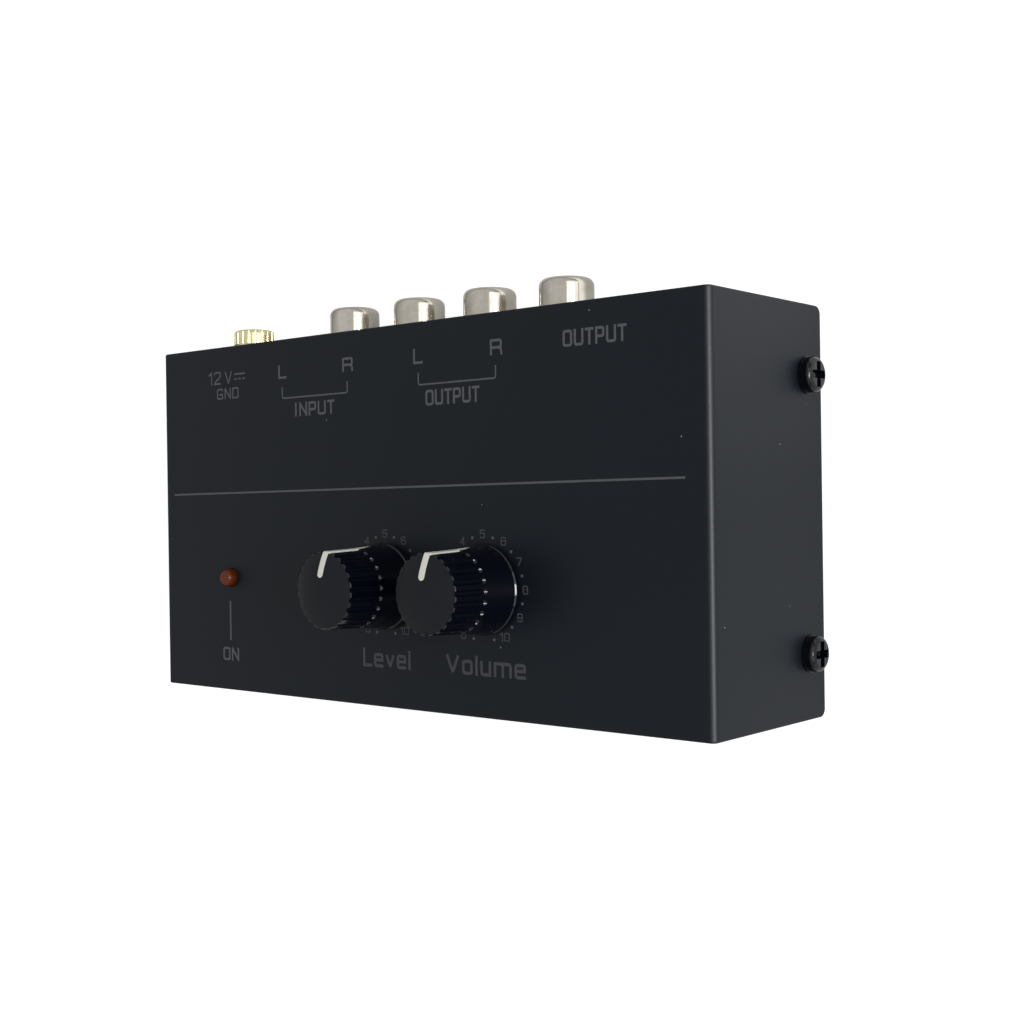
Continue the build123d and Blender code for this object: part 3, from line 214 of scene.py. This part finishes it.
nickel = plated("nickel_plated_brass", "d0ccc2", "bdb7aa", 0.07, AROUND_Y)
gold = plated("gold_plated_brass", "f5eac2", "e8d8a2", 0.12, AROUND_Y)
zinc = plated("zinc_plated_steel", "c9cbcd", "aeb2b6", 0.22)
tin = plated("tin_plated_copper", "cfcdc8", "b4b2ad", 0.26)
spring_strip = plated("nickel_plated_spring_strip", "cbc6ba", "b0aa9d", 0.24, ALONG_Y)
bright_can = plated("stamped_tinplate", "c4c5c6", "a9abad", 0.30)
shaft_alloy = plated("turned_aluminium", "cfd1d4", "b8bbbf", 0.24, AROUND_Z)
bushing_metal = plated("nickel_plated_bushing", "cdc8bd", "b2ab9e", 0.20, AROUND_Z)
flash_gold = plated("gold_flashed_contact", "e3c479", "c9a259", 0.20)
print("nine plated metals, from", nickel.name, "to", flash_gold.name)

# %% [markdown]
# ## Black screws
# A cover screw is steel under a thick black lacquer, glossier than the case around it. The light catches the
# rim of its head and the edges of the cross, so the finish needs low roughness and the waves of a thick coat
# more than it needs colour.

# %% Black lacquered steel
def black_lacquer(name):
    material, place = new_material(name)
    drips = noise(material, place, 0.8, 2.0)
    rough = ramp(material, drips, 0.05, 0.12)
    uneven = bump(material, drips, 1.0, 0.08)
    return surface(material, Base_Color=srgb("04070e"), Roughness=rough, Specular_IOR_Level=0.37, Normal=uneven)


screw_black = black_lacquer("black_lacquered_steel")
print("screws:", screw_black.name)

# %% [markdown]
# ## Moulded plastics and rubber
# It also paints the matt face a lighter grey and the polished sides a darker blue: painted shade and a painted
# bluish reflection on one black plastic.
# The knobs are polished in the mould on their sides and left matt on top, so that the pointer reads clearly.
# One material does both: it looks at the height of the point and changes the gloss above the knob's rim.
# The other mouldings differ only in colour and gloss, so one function makes them, with a fine spark-eroded
# texture in the bump.

# %% Moulded plastics
DOME_H = 1.10 * MM  # from the top of a knob's face down to its matt edge
MATT_STEP = 0.03 * MM  # height in which polished turns into matt


def moulded(name, colour, rough, grain_mm=0.35, strength=0.08):
    material, place = new_material(name)
    grain = noise(material, place, grain_mm, 2.0)
    spread = ramp(material, grain, rough - 0.05, rough + 0.05)
    skin = bump(material, grain, strength, 0.03)
    return surface(material, Base_Color=srgb(colour), Roughness=spread, IOR=1.5, Normal=skin)


def knob_plastic(name, rim_z):
    material, place = new_material(name)
    height = add(material, "SeparateXYZ", {"Vector": place}).outputs["Z"]
    top = ramp(material, height, 0.0, 1.0, rim_z, rim_z + MATT_STEP)
    # Painted shade: the polished sides are coloured darker and bluer than the matt face of the same plastic.
    colour = blend(material, top, srgb("040610"), srgb("12141a"))
    rough = ramp(material, top, 0.10, 0.50)
    shine = ramp(material, top, 0.50, 0.22)
    pitted = math_node(material, "MULTIPLY", noise(material, place, 0.25, 2.0), top)
    skin = bump(material, pitted, 0.12, 0.03)
    return surface(material, Base_Color=colour, Roughness=rough, IOR=1.49, Specular_IOR_Level=shine, Normal=skin)


knob_abs = {dial: knob_plastic(f"abs_{dial}_knob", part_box(f"{dial}_knob")[1].z - DOME_H) for dial in dial_axis}
pointer_abs = moulded("white_abs_pointer", "eaeae1", 0.35)
black_pbt = moulded("black_pbt_jack_body", "0e0f11", 0.45)
white_nylon = moulded("white_nylon_insulator", "e4e2da", 0.30)
red_nylon = moulded("red_nylon_insulator", "a3150f", 0.30)
foot_rubber = moulded("black_rubber_foot", "121314", 0.75, grain_mm=0.5, strength=0.25)
print("knobs:", [m.name for m in knob_abs.values()])

# %% [markdown]
# ## The power light
# The light is a 3 mm diode cast in amber epoxy with a powder that scatters the light. Unlit it is a dark
# orange brown. It could be glass with a colour inside, but a diffused lens is cloudy, so a shader with some
# light travelling under the skin gives the soft edge that the real one has.
# Its colour is painted lighter towards the top of the dome, as painted light.

# %% Diffused amber epoxy
def diffused_epoxy(name):
    material, place = new_material(name)
    height = add(material, "SeparateXYZ", {"Vector": place}).outputs["Z"]
    # Painted light: the colour grows lighter towards the top of the dome.
    painted_light_on_dome = ramp(material, height, 0.0, 1.0, PANEL_Z, light_high.z)
    tone = blend(material, painted_light_on_dome, srgb("491b00"), srgb("632900"))
    skin = bump(material, noise(material, place, 0.4, 1.0), 0.04, 0.03)
    scatter = {"Subsurface_Weight": 0.35, "Subsurface_Radius": (0.9, 0.35, 0.05), "Subsurface_Scale": 1.0 * MM}
    return surface(material, Base_Color=tone, Roughness=0.10, Specular_IOR_Level=0.30, Normal=skin, **scatter)


amber = diffused_epoxy("diffused_amber_epoxy")
print("power light:", amber.name)

# %% [markdown]
# ## Inside the case
# Nothing inside shows while the case is closed, but each piece has its own finish, so that the model can be
# taken apart. The board's green mask gets a faint pattern of tracks under it: two sets of straight bands,
# cut into short runs by a coarse cell pattern.

# %% Board, components and wire
TRACK_START, TRACK_END = 0.72, 0.76  # the part of a wave at which a track's edge begins and ends


def solder_mask(name):
    material, place = new_material(name)
    flat = add(material, "Mapping", {"Vector": place, "Scale": (1, 1, 0)}).outputs["Vector"]
    cells = add(material, "TexVoronoi", {"Vector": flat, "Scale": per_mm(9)}, distance="CHEBYCHEV")
    turn = add(material, "SeparateColor", {"Color": cells.outputs["Color"]}).outputs["Red"]
    wave = {"Vector": flat, "Scale": per_mm(40), "Distortion": 0.0}
    lengthwise = add(material, "TexWave", wave, bands_direction="Y").outputs["Fac"]
    crosswise = add(material, "TexWave", wave, bands_direction="X").outputs["Fac"]
    side = math_node(material, "GREATER_THAN", turn, 0.5)
    bands = add(material, "Mix", {"Factor": side, "A": lengthwise, "B": crosswise}).outputs[0]
    track = ramp(material, bands, 0.0, 1.0, TRACK_START, TRACK_END)
    colour = blend(material, track, srgb("123f25"), srgb("1c5a35"))
    raised = bump(material, track, 0.4, 0.035)
    return surface(material, Base_Color=colour, Roughness=0.28, IOR=1.5, Normal=raised)


board_green = solder_mask("green_solder_mask_on_fibreglass")
sleeve_blue = moulded("blue_black_shrunk_sleeve", "10162a", 0.28)
film_red = moulded("red_film_capacitor_epoxy", "9a2117", 0.32)
resistor_blue = moulded("blue_resistor_lacquer", "5f8fa8", 0.30)
chip_epoxy = moulded("black_chip_epoxy", "131416", 0.55, strength=0.15)
track_laminate = moulded("brown_paper_laminate", "5a3a22", 0.50)
green_sleeving = moulded("green_wire_insulation", "1d6b2c", 0.35)
print("inside:", board_green.name, "and six more")

# %% [markdown]
# ## Dress the CAD parts
# Each CAD part keeps its mesh and gets its finish through its material slot. The rules go from a name's ending
# to a material, so that four jacks or two dials need one line each. A part that no rule names stops the script,
# because a forgotten part would be left plain.

# %% Give every CAD part its finish
finish_by_ending = {
    "top_cover": cover_coat, "base_tray": tray_coat, "cover_screws": screw_black, "rubber_feet": foot_rubber,
    "board_standoffs": zinc, "board_screws": zinc, "circuit_board": board_green, "_jack_barrel": nickel,
    "left_jack_insulator": white_nylon, "right_jack_insulator": red_nylon, "_jack_contact": flash_gold,
    "_jack_block": black_pbt, "dc_jack_pin": nickel, "_spring": spring_strip, "ground_thumb_screw": gold,
    "ground_washer": gold, "ground_nut": gold, "ground_lug": tin, "led_legs": tin, "_pot_terminals": tin,
    "ground_wire": green_sleeving, "level_knob": knob_abs["level"], "volume_knob": knob_abs["volume"],
    "_pointer": pointer_abs, "_pot_case": bright_can, "_pot_bushing": bushing_metal, "_pot_shaft": shaft_alloy,
    "_pot_wiper": flash_gold, "_pot_track": track_laminate, "led_lens": amber, "led_spacer": black_pbt,
    "electrolytic_capacitors": sleeve_blue, "film_capacitors": film_red, "resistors": resistor_blue,
    "op_amp_chips": chip_epoxy, "voltage_regulator": chip_epoxy, "protection_diode": chip_epoxy,
}
for name, part in nodes.items():
    found = [finish for ending, finish in finish_by_ending.items() if name.endswith(ending)]
    if not found:
        raise ValueError(f"no finish for {name}")
    for slot in part.material_slots:
        slot.material = found[0]
print(len(nodes), "parts dressed with", len(set(finish_by_ending.values())), "materials")

# %% [markdown]
# ## Lettering as strokes
# The labels are screen printed in grey: short square letters with rounded corners, drawn with a pen of even
# width. A text object could write them in a typeface, but its letters would be rounder and its strokes of
# uneven width. So each letter is a few strokes, each stroke is a curve, and a round bevel gives it its width.
# A quadratic NURBS curve turns each inner corner of its control points into an arc by itself.
#
# A letter is written as points, across and up, on a grid where most capitals are six wide and seven high. A
# slash starts a new stroke, and a stroke that ends where it starts is closed. A letter that starts off the edge
# of its grid, such as I, has the same blank on its other side. The sign = stands for direct current, so its
# lower bar is dashed.

# %% The strokes of each letter
strokes_of = {
    "0": "3,0 0,0 0,2 0,5 0,7 3,7 6,7 6,5 6,2 6,0 3,0",
    "1": "0,5.4 3,7 / 3,7 3,0",
    "2": "0,6 0,7 3,7 6,7 6,5 6,4 0,1 0,0 / 0,0 6,0",
    "3": "0,6 0,7 3,7 6,7 6,4 3,4 / 3,4 6,4 6,2 6,0 3,0 0,0 0,1",
    "4": "5,0 5,7 / 5,7 0,2 / 0,2 6,2",
    "5": "6,7 0,7 / 0,7 0,4 / 0,4 3,4 6,4 6,2 6,0 3,0 0,0 0,1",
    "6": "6,6 6,7 3,7 0,7 0,5 0,2 0,0 3,0 6,0 6,2 6,4 3,4 0,4",
    "7": "0,7 6,7 / 6,7 2,0",
    "8": "3,4 0,4 0,5 0,7 3,7 6,7 6,5 6,4 3,4 / 3,4 0,4 0,2 0,0 3,0 6,0 6,2 6,4 3,4",
    "9": "0,1 0,0 3,0 6,0 6,2 6,5 6,7 3,7 0,7 0,5 0,3 3,3 6,3",
    "D": "0,0 0,7 / 0,7 3,7 6,7 6,5 6,2 6,0 3,0 0,0",
    "G": "6,6 6,7 3,7 0,7 0,5 0,2 0,0 3,0 6,0 6,2 6,3 / 6,3 3,3",
    "I": "1,0 1,7",
    "L": "0,7 0,0 / 0,0 5,0",
    "N": "0,0 0,7 / 0,7 6,0 / 6,0 6,7",
    "O": "3,0 0,0 0,2 0,5 0,7 3,7 6,7 6,5 6,2 6,0 3,0",
    "P": "0,0 0,7 / 0,7 3,7 5.5,7 5.5,5 5.5,3 3,3 0,3",
    "R": "0,0 0,7 / 0,7 3,7 6,7 6,5 6,3.3 3,3.3 0,3.3 / 3,3.3 5,3.3 6.2,2.2 6.2,0",
    "T": "0,7 5,7 / 2.5,7 2.5,0",
    "U": "0,7 0,2 0,0 3,0 6,0 6,2 6,7",
    "V": "0,7.3 3.5,0 / 3.5,0 7,7.3",
    "=": "0,5 7,5 / 0,2 1,2 / 3,2 4,2 / 6,2 7,2",
    "e": "5,2.6 5,3.5 5,5 2.5,5 0,5 0,3 0,2 0,0 2.5,0 5,0 / 0,2.6 5,2.6",
    "l": "0,7 0,0",
    "m": "0,0 0,5 / 0,5 2.5,5 4.5,5 4.5,3 4.5,0 / 4.5,5 7,5 9,5 9,3 9,0",
    "o": "2.5,0 0,0 0,2 0,3 0,5 2.5,5 5,5 5,3 5,2 5,0 2.5,0",
    "u": "0,5 0,2 0,0 2.5,0 5,0 / 5,0 5,5",
    "v": "0,5.2 2.5,0 / 2.5,0 5,5.2",
}
CAP, LETTER_GAP = 7, 3.0  # height of a capital and gap between two letters, in units of the grid


def letter(character):
    """The strokes of one letter as lists of grid points, and its width."""
    written = strokes_of[character].split("/")
    strokes = [[tuple(map(float, point.split(","))) for point in stroke.split()] for stroke in written]
    places = [x for stroke in strokes for x, y in stroke]
    return strokes, max(places) + min(places)


def lettering(text, left, right, baseline, cap):
    """A word's strokes on the panel, in millimetres, stretched to fit between left and right."""
    word, pen = [], 0.0
    for character in text:
        strokes, width = letter(character)
        word += [[(pen + x, y) for x, y in stroke] for stroke in strokes]
        pen += width + LETTER_GAP
    across = (right - left) / (pen - LETTER_GAP)
    return [[(left + x * across, baseline + y * cap / CAP) for x, y in stroke] for stroke in word]


print(len(strokes_of), "characters, the word ON has", len(lettering("ON", 0, 4, 0, 2)), "strokes")

# %% [markdown]
# ## From strokes to ink
# All strokes of one pen width go into one curve object. Its bevel makes round bars, a mesh is taken from it,
# and the mesh is flattened and set on the panel so that half of it is inside the steel, and the print has no
# gap under it. There are two inks, because the names and numbers of the dials are printed thinner than the
# labels and look darker.

# %% Turn strokes into a printed piece
INK_HEIGHT = 0.02 * MM  # how far the ink stands above the panel
CORNER_STEPS = 4  # straight steps in each span of a curve
LEAN = 0.001  # a stroke that leans by less than this many millimetres is upright or level


def square_ends(stroke, reach):
    """Carries an upright or level end on by half a pen, so that strokes meet in full corners."""
    ends = list(stroke)
    for end, inner in ((0, 1), (-1, -2)):
        step = Vector(stroke[end]) - Vector(stroke[inner])
        if min(abs(step.x), abs(step.y)) < LEAN:
            ends[end] = tuple(Vector(stroke[end]) + step.normalized() * reach)
    return ends


def printed(name, strokes, pen, ink):
    """Prints strokes, given in millimetres on the panel, with a pen of that width."""
    curve = bpy.data.curves.new(name, "CURVE")
    curve.dimensions = "3D"
    curve.bevel_depth = pen * MM / 2
    curve.bevel_resolution = 0
    curve.use_fill_caps = True
    for stroke in strokes:
        closed = len(stroke) > 2 and stroke[0] == stroke[-1]
        points = stroke[:-1] if closed else square_ends(stroke, pen / 2)
        line = curve.splines.new("NURBS")
        line.points.add(len(points) - 1)
        for point, (x, y) in zip(line.points, points):
            point.co = (x * MM, y * MM, 0, 1)
        line.order_u = min(3, len(points))
        line.use_endpoint_u = not closed
        line.use_cyclic_u = closed
        line.resolution_u = CORNER_STEPS
    drawn = bpy.data.objects.new(name + "_curve", curve)
    bpy.context.scene.collection.objects.link(drawn)
    bpy.context.view_layer.update()
    bars = drawn.evaluated_get(bpy.context.evaluated_depsgraph_get())
    mesh = bpy.data.meshes.new_from_object(bars)
    bpy.data.objects.remove(drawn)
    flatten = Matrix.Diagonal((1, 1, 2 * INK_HEIGHT / (pen * MM), 1))
    mesh.transform(Matrix.Translation((0, 0, PANEL_Z)) @ flatten)
    mesh.name = name
    for face in mesh.polygons:
        face.use_smooth = False
    mesh.materials.clear()
    mesh.materials.append(ink)
    piece = bpy.data.objects.new(name, mesh)
    bpy.context.scene.collection.objects.link(piece)
    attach(piece, "preamp")
    print(name, len(strokes), "strokes,", len(mesh.polygons), "faces")


def screen_ink(name, light, dark):
    material, place = new_material(name)
    tone = blend(material, noise(material, place, 0.5, 2.0), srgb(dark), srgb(light))
    return surface(material, Base_Color=tone, Roughness=0.55, Specular_IOR_Level=0.25)


grey_ink = screen_ink("grey_screen_ink", "5e6064", "505256")
thin_ink = screen_ink("thin_grey_screen_ink", "494b4f", "3d3f43")
print("inks:", grey_ink.name, thin_ink.name)

# %% [markdown]
# ## The labels and lines on the panel
# Each label is given by its left and right end, the line it stands on, and the height of its capitals, all in
# millimetres from the middle of the case. The brackets join the two channels of an input or output, a rule
# divides the connections from the controls, and a short line leads from the power light to its label.

# %% Print the labels
FINE_PEN, BOLD_PEN, NAME_PEN = 0.27, 0.37, 0.47  # width of a stroke

fine_labels = (
    ("12", -43.45, -40.35, 19.43, 1.92),
    ("V", -39.05, -37.4, 19.38, 1.88),
    ("=", -36.5, -34.1, 19.41, 1.93),
    ("GND", -41.14, -35.76, 16.9, 1.58),
)
bold_labels = (
    ("INPUT", -21.67, -12.62, 13.16, 1.84),
    ("OUTPUT", 7.28, 17.48, 13.27, 1.92),
    ("OUTPUT", 32.94, 43.15, 19.73, 1.91),
    ("L", -25.36, -23.78, 19.4, 1.86),
    ("R", -10.35, -8.32, 19.45, 1.84),
    ("L", 4.89, 6.48, 19.51, 1.9),
    ("R", 19.93, 21.83, 19.63, 1.89),
    ("ON", -40.41, -36.66, -26.81, 1.85),
)
fine = [stroke for label in fine_labels for stroke in lettering(*label)]
bold = [stroke for label in bold_labels for stroke in lettering(*label)]
printed("printed_power_labels", fine, FINE_PEN, grey_ink)
printed("printed_jack_labels", bold, BOLD_PEN, grey_ink)
names = lettering("Level", -6.6, 3.05, -25.73, 2.38) + lettering("Volume", 10.65, 25.25, -25.69, 2.38)
printed("printed_dial_names", names, NAME_PEN, thin_ink)

# %% Print the brackets, the rule and the light's line
BRACKET_PEN, RULE_PEN, LINE_PEN = 0.24, 0.3, 0.38
LINE_ASIDE = -0.45  # the line stands this far beside the middle of the light
LINE_START, LINE_END = 4.15, 10.35  # from the middle of the light towards the front


def bracket(left, right, bottom, top, corner=0.8):
    """A line under two labels, with upturned ends and rounded corners."""
    return [(left, top), (left, bottom + corner), (left, bottom), (left + corner, bottom),
            (right - corner, bottom), (right, bottom), (right, bottom + corner), (right, top)]


brackets = [bracket(-24.65, -9.5, 16.05, 17.72), bracket(5.68, 20.72, 16.23, 17.91)]
printed("printed_brackets", brackets, BRACKET_PEN, grey_ink)
printed("printed_rule", [[(-53.35, 0.95), (52.1, 1.49)]], RULE_PEN, grey_ink)
light_x, light_y = light_axis.x / MM + LINE_ASIDE, light_axis.y / MM
light_line = [(light_x, light_y - LINE_START), (light_x, light_y - LINE_END)]
printed("printed_light_line", [light_line], LINE_PEN, grey_ink)

# %% [markdown]
# ## The scales around the dials
# A dial turns three hundred degrees from 0 to 10, so the numbers are thirty degrees apart. A dot stands
# halfway between two numbers, and one more beyond each end. The numbers stay upright, and only their places go
# round. A dot is a very short stroke of a wider pen. The print is a little out of register with the holes.

# %% Print the scales
NUMBER_RADIUS, DOT_RADIUS = 7.75, 7.45
NUMBER_PEN, DOT_PEN, DOT_LENGTH = 0.19, 0.38, 0.04
NUMBER_CAP = 1.06
NUMBER_WIDTH = {1: 0.8, 2: 1.7}  # of a number with one figure, and of one with two
SCALE_START, SCALE_STEP = -150, 30  # degrees from straight back to 0, and from one number to the next
SHIFT_X, SHIFT_Y = -0.35, 0.12  # from a dial's axis to the middle of its scale


def on_circle(axis, radius, degrees):
    """A point on a circle around a dial, in millimetres, clockwise from straight back."""
    angle = math.radians(degrees)
    across, along = axis.x / MM + SHIFT_X, axis.y / MM + SHIFT_Y
    return across + radius * math.sin(angle), along + radius * math.cos(angle)


for dial, axis in dial_axis.items():
    numbers = []
    for value in range(11):
        x, y = on_circle(axis, NUMBER_RADIUS, SCALE_START + SCALE_STEP * value)
        half = NUMBER_WIDTH[len(str(value))] / 2
        numbers += lettering(str(value), x - half, x + half, y - NUMBER_CAP / 2, NUMBER_CAP)
    printed(f"printed_{dial}_numbers", numbers, NUMBER_PEN, thin_ink)
    dots = []
    for value in range(12):
        x, y = on_circle(axis, DOT_RADIUS, SCALE_START + SCALE_STEP * (value - 0.5))
        dots += [[(x - DOT_LENGTH / 2, y), (x + DOT_LENGTH / 2, y)]]
    printed(f"printed_{dial}_dots", dots, DOT_PEN, grey_ink)

# %% [markdown]
# ## Floor, light and background
# The floor is plain and pale. A camera ray sees it brighter than its lit colour, so it turns to plain white
# away from the object while the soft shadow stays. To a mirrored ray the floor glows, as a painted reflection:
# dim on the left and brighter on the right and towards the rear, which shapes the reflections in the jacks
# and the knobs. The world is split in the same way. It is white to the camera, an even grey that fills the
# shadows, and to a mirrored ray a room that is brighter above and dark on the right.
#
# One large soft box lights the object from the right, lower than the camera, so the side of the case is lighter
# than the panel. Its middle is brighter, as if a bulb stood behind the cloth.

# %% Floor
WHITE = (1, 1, 1, 1)
FLOOR_HALF = 4.0  # half the width of the floor, in metres
FLOOR_LIFT = 0.72  # what a camera ray sees beyond the lit paper
# The glows below are a painted reflection that only mirrored rays see.
DIM_GLOW = 0.12  # what a mirrored ray finds everywhere
FRONT_GLOW, REAR_GLOW = 0.18, 0.63  # what comes on top of it at the right, in front and at the rear
RIGHT_START, RIGHT_END, REAR_END = 45 * MM, 70 * MM, 30 * MM  # where the change to the right and the rear happens


def paper_sweep(name):
    material, place = new_material(name)
    rays = add(material, "LightPath").outputs
    spot = add(material, "SeparateXYZ", {"Vector": place}).outputs
    # Painted reflection: a mirrored ray sees the floor glow, dim on the left and brighter to the right and rear.
    rear = ramp(material, spot["Y"], FRONT_GLOW, REAR_GLOW, end=REAR_END)
    right = ramp(material, spot["X"], 0.0, 1.0, RIGHT_START, RIGHT_END)
    found = math_node(material, "MULTIPLY_ADD", right, rear, DIM_GLOW)
    mirrored = math_node(material, "MULTIPLY", rays["Is Glossy Ray"], found)
    seen = math_node(material, "MAXIMUM", rays["Is Camera Ray"], rays["Is Transmission Ray"])
    lift = math_node(material, "MULTIPLY_ADD", seen, FLOOR_LIFT, mirrored)
    paper = add(material, "BsdfDiffuse", {"Color": srgb("e8e8e8")}).outputs["BSDF"]
    glow = add(material, "Emission", {"Color": WHITE, "Strength": lift}).outputs["Emission"]
    both = add(material, "AddShader", {0: paper, 1: glow}).outputs["Shader"]
    add(material, "OutputMaterial", {"Surface": both})
    return material


shape = bmesh.new()
bmesh.ops.create_grid(shape, x_segments=1, y_segments=1, size=FLOOR_HALF)
floor_mesh = bpy.data.meshes.new("floor")
shape.to_mesh(floor_mesh)
shape.free()
floor_mesh.materials.append(paper_sweep("white_sweep_with_painted_reflection"))
floor = bpy.data.objects.new("floor", floor_mesh)
bpy.context.scene.collection.objects.link(floor)
print("floor", 2 * FLOOR_HALF, "m wide")

# %% World
FILL_STRENGTH = 0.62
LOW_ROOM, HIGH_ROOM = 0.35, 0.70  # brightness of the mirrored room at the horizon and above
RIGHT_ROOM, LEFT_ROOM = 0.05, 0.70  # the part of it that remains on each side
ROOM_TOP = 0.35  # how steep a direction is where the room is brightest; straight up is 1
RIGHT_EDGE, LEFT_EDGE = (0.65, 0.85), (-0.9, -0.5)  # where the sides change; straight to the right is 1


def background(world, colour, strength):
    return add(world, "Background", {"Color": colour, "Strength": strength}).outputs["Background"]


def studio(name):
    world = bpy.data.worlds.new(name)
    world.use_nodes = True
    world.node_tree.nodes.clear()
    rays = add(world, "LightPath").outputs
    way = add(world, "SeparateXYZ", {"Vector": add(world, "TexCoord").outputs["Generated"]}).outputs
    height = ramp(world, way["Z"], LOW_ROOM, HIGH_ROOM, end=ROOM_TOP)
    right = ramp(world, way["X"], 1.0, RIGHT_ROOM, *RIGHT_EDGE)
    left = ramp(world, way["X"], LEFT_ROOM, 1.0, *LEFT_EDGE)
    sides = math_node(world, "MULTIPLY", right, left)
    room = background(world, WHITE, math_node(world, "MULTIPLY", height, sides))
    fill = background(world, srgb("c4c3c0"), FILL_STRENGTH)
    unseen = add(world, "MixShader", {"Fac": rays["Is Glossy Ray"], 1: fill, 2: room}).outputs["Shader"]
    white = background(world, WHITE, 1.0)
    both = add(world, "MixShader", {"Fac": rays["Is Camera Ray"], 1: unseen, 2: white}).outputs["Shader"]
    add(world, "OutputWorld", {"Surface": both})
    return world


bpy.context.scene.world = studio("studio")
print("world:", bpy.context.scene.world.name)

# %% Soft box
LAMP_ANGLE = 63  # degrees from straight up towards the right


def soft_box(name, distance, width, height, power):
    """A lamp that faces the object from the right. Sizes are in metres and the power is in watts."""
    lamp = bpy.data.lights.new(name, "AREA")
    lamp.shape = "RECTANGLE"
    lamp.size, lamp.size_y = width, height
    lamp.energy = power
    thing = bpy.data.objects.new(name, lamp)
    turn = math.radians(LAMP_ANGLE)
    thing.location = (distance * math.sin(turn), 0, distance * math.cos(turn))
    thing.rotation_euler = (0, turn, 0)
    bpy.context.scene.collection.objects.link(thing)
    print(name, "at", tuple(round(c, 2) for c in thing.location))


soft_box("key_soft_box", 1.0, 0.88, 1.3, power=5.2)
soft_box("bulb_behind_the_cloth", 0.98, 0.20, 0.30, power=3.4)

# %% [markdown]
# ## Camera
# The camera looks down on the panel from the right, and is rolled so that the rear of the case points up in the
# picture. Its three axes are written out, because a roll is easier to read that way than as angles.

# %% Camera
lens = bpy.data.cameras.new("camera")
lens.lens = 50
lens.sensor_width = 36
lens.clip_start = 0.01
camera = bpy.data.objects.new("camera", lens)
bpy.context.scene.collection.objects.link(camera)
view_right = Vector((0.76458663, -0.01402163, -0.64436843))
view_up = Vector((0.00808446, 0.99989332, -0.01216519))
view_back = Vector((0.64447026, 0.00409198, 0.76461842))
stand = Vector((0.151135, -0.001827, 0.182547))
turned = Matrix((view_right, view_up, view_back)).transposed()
camera.matrix_world = Matrix.Translation(stand) @ turned.to_4x4()
bpy.context.scene.camera = camera
bpy.context.scene.view_settings.view_transform = "Standard"
print("camera", round(stand.length, 3), "m from the origin")
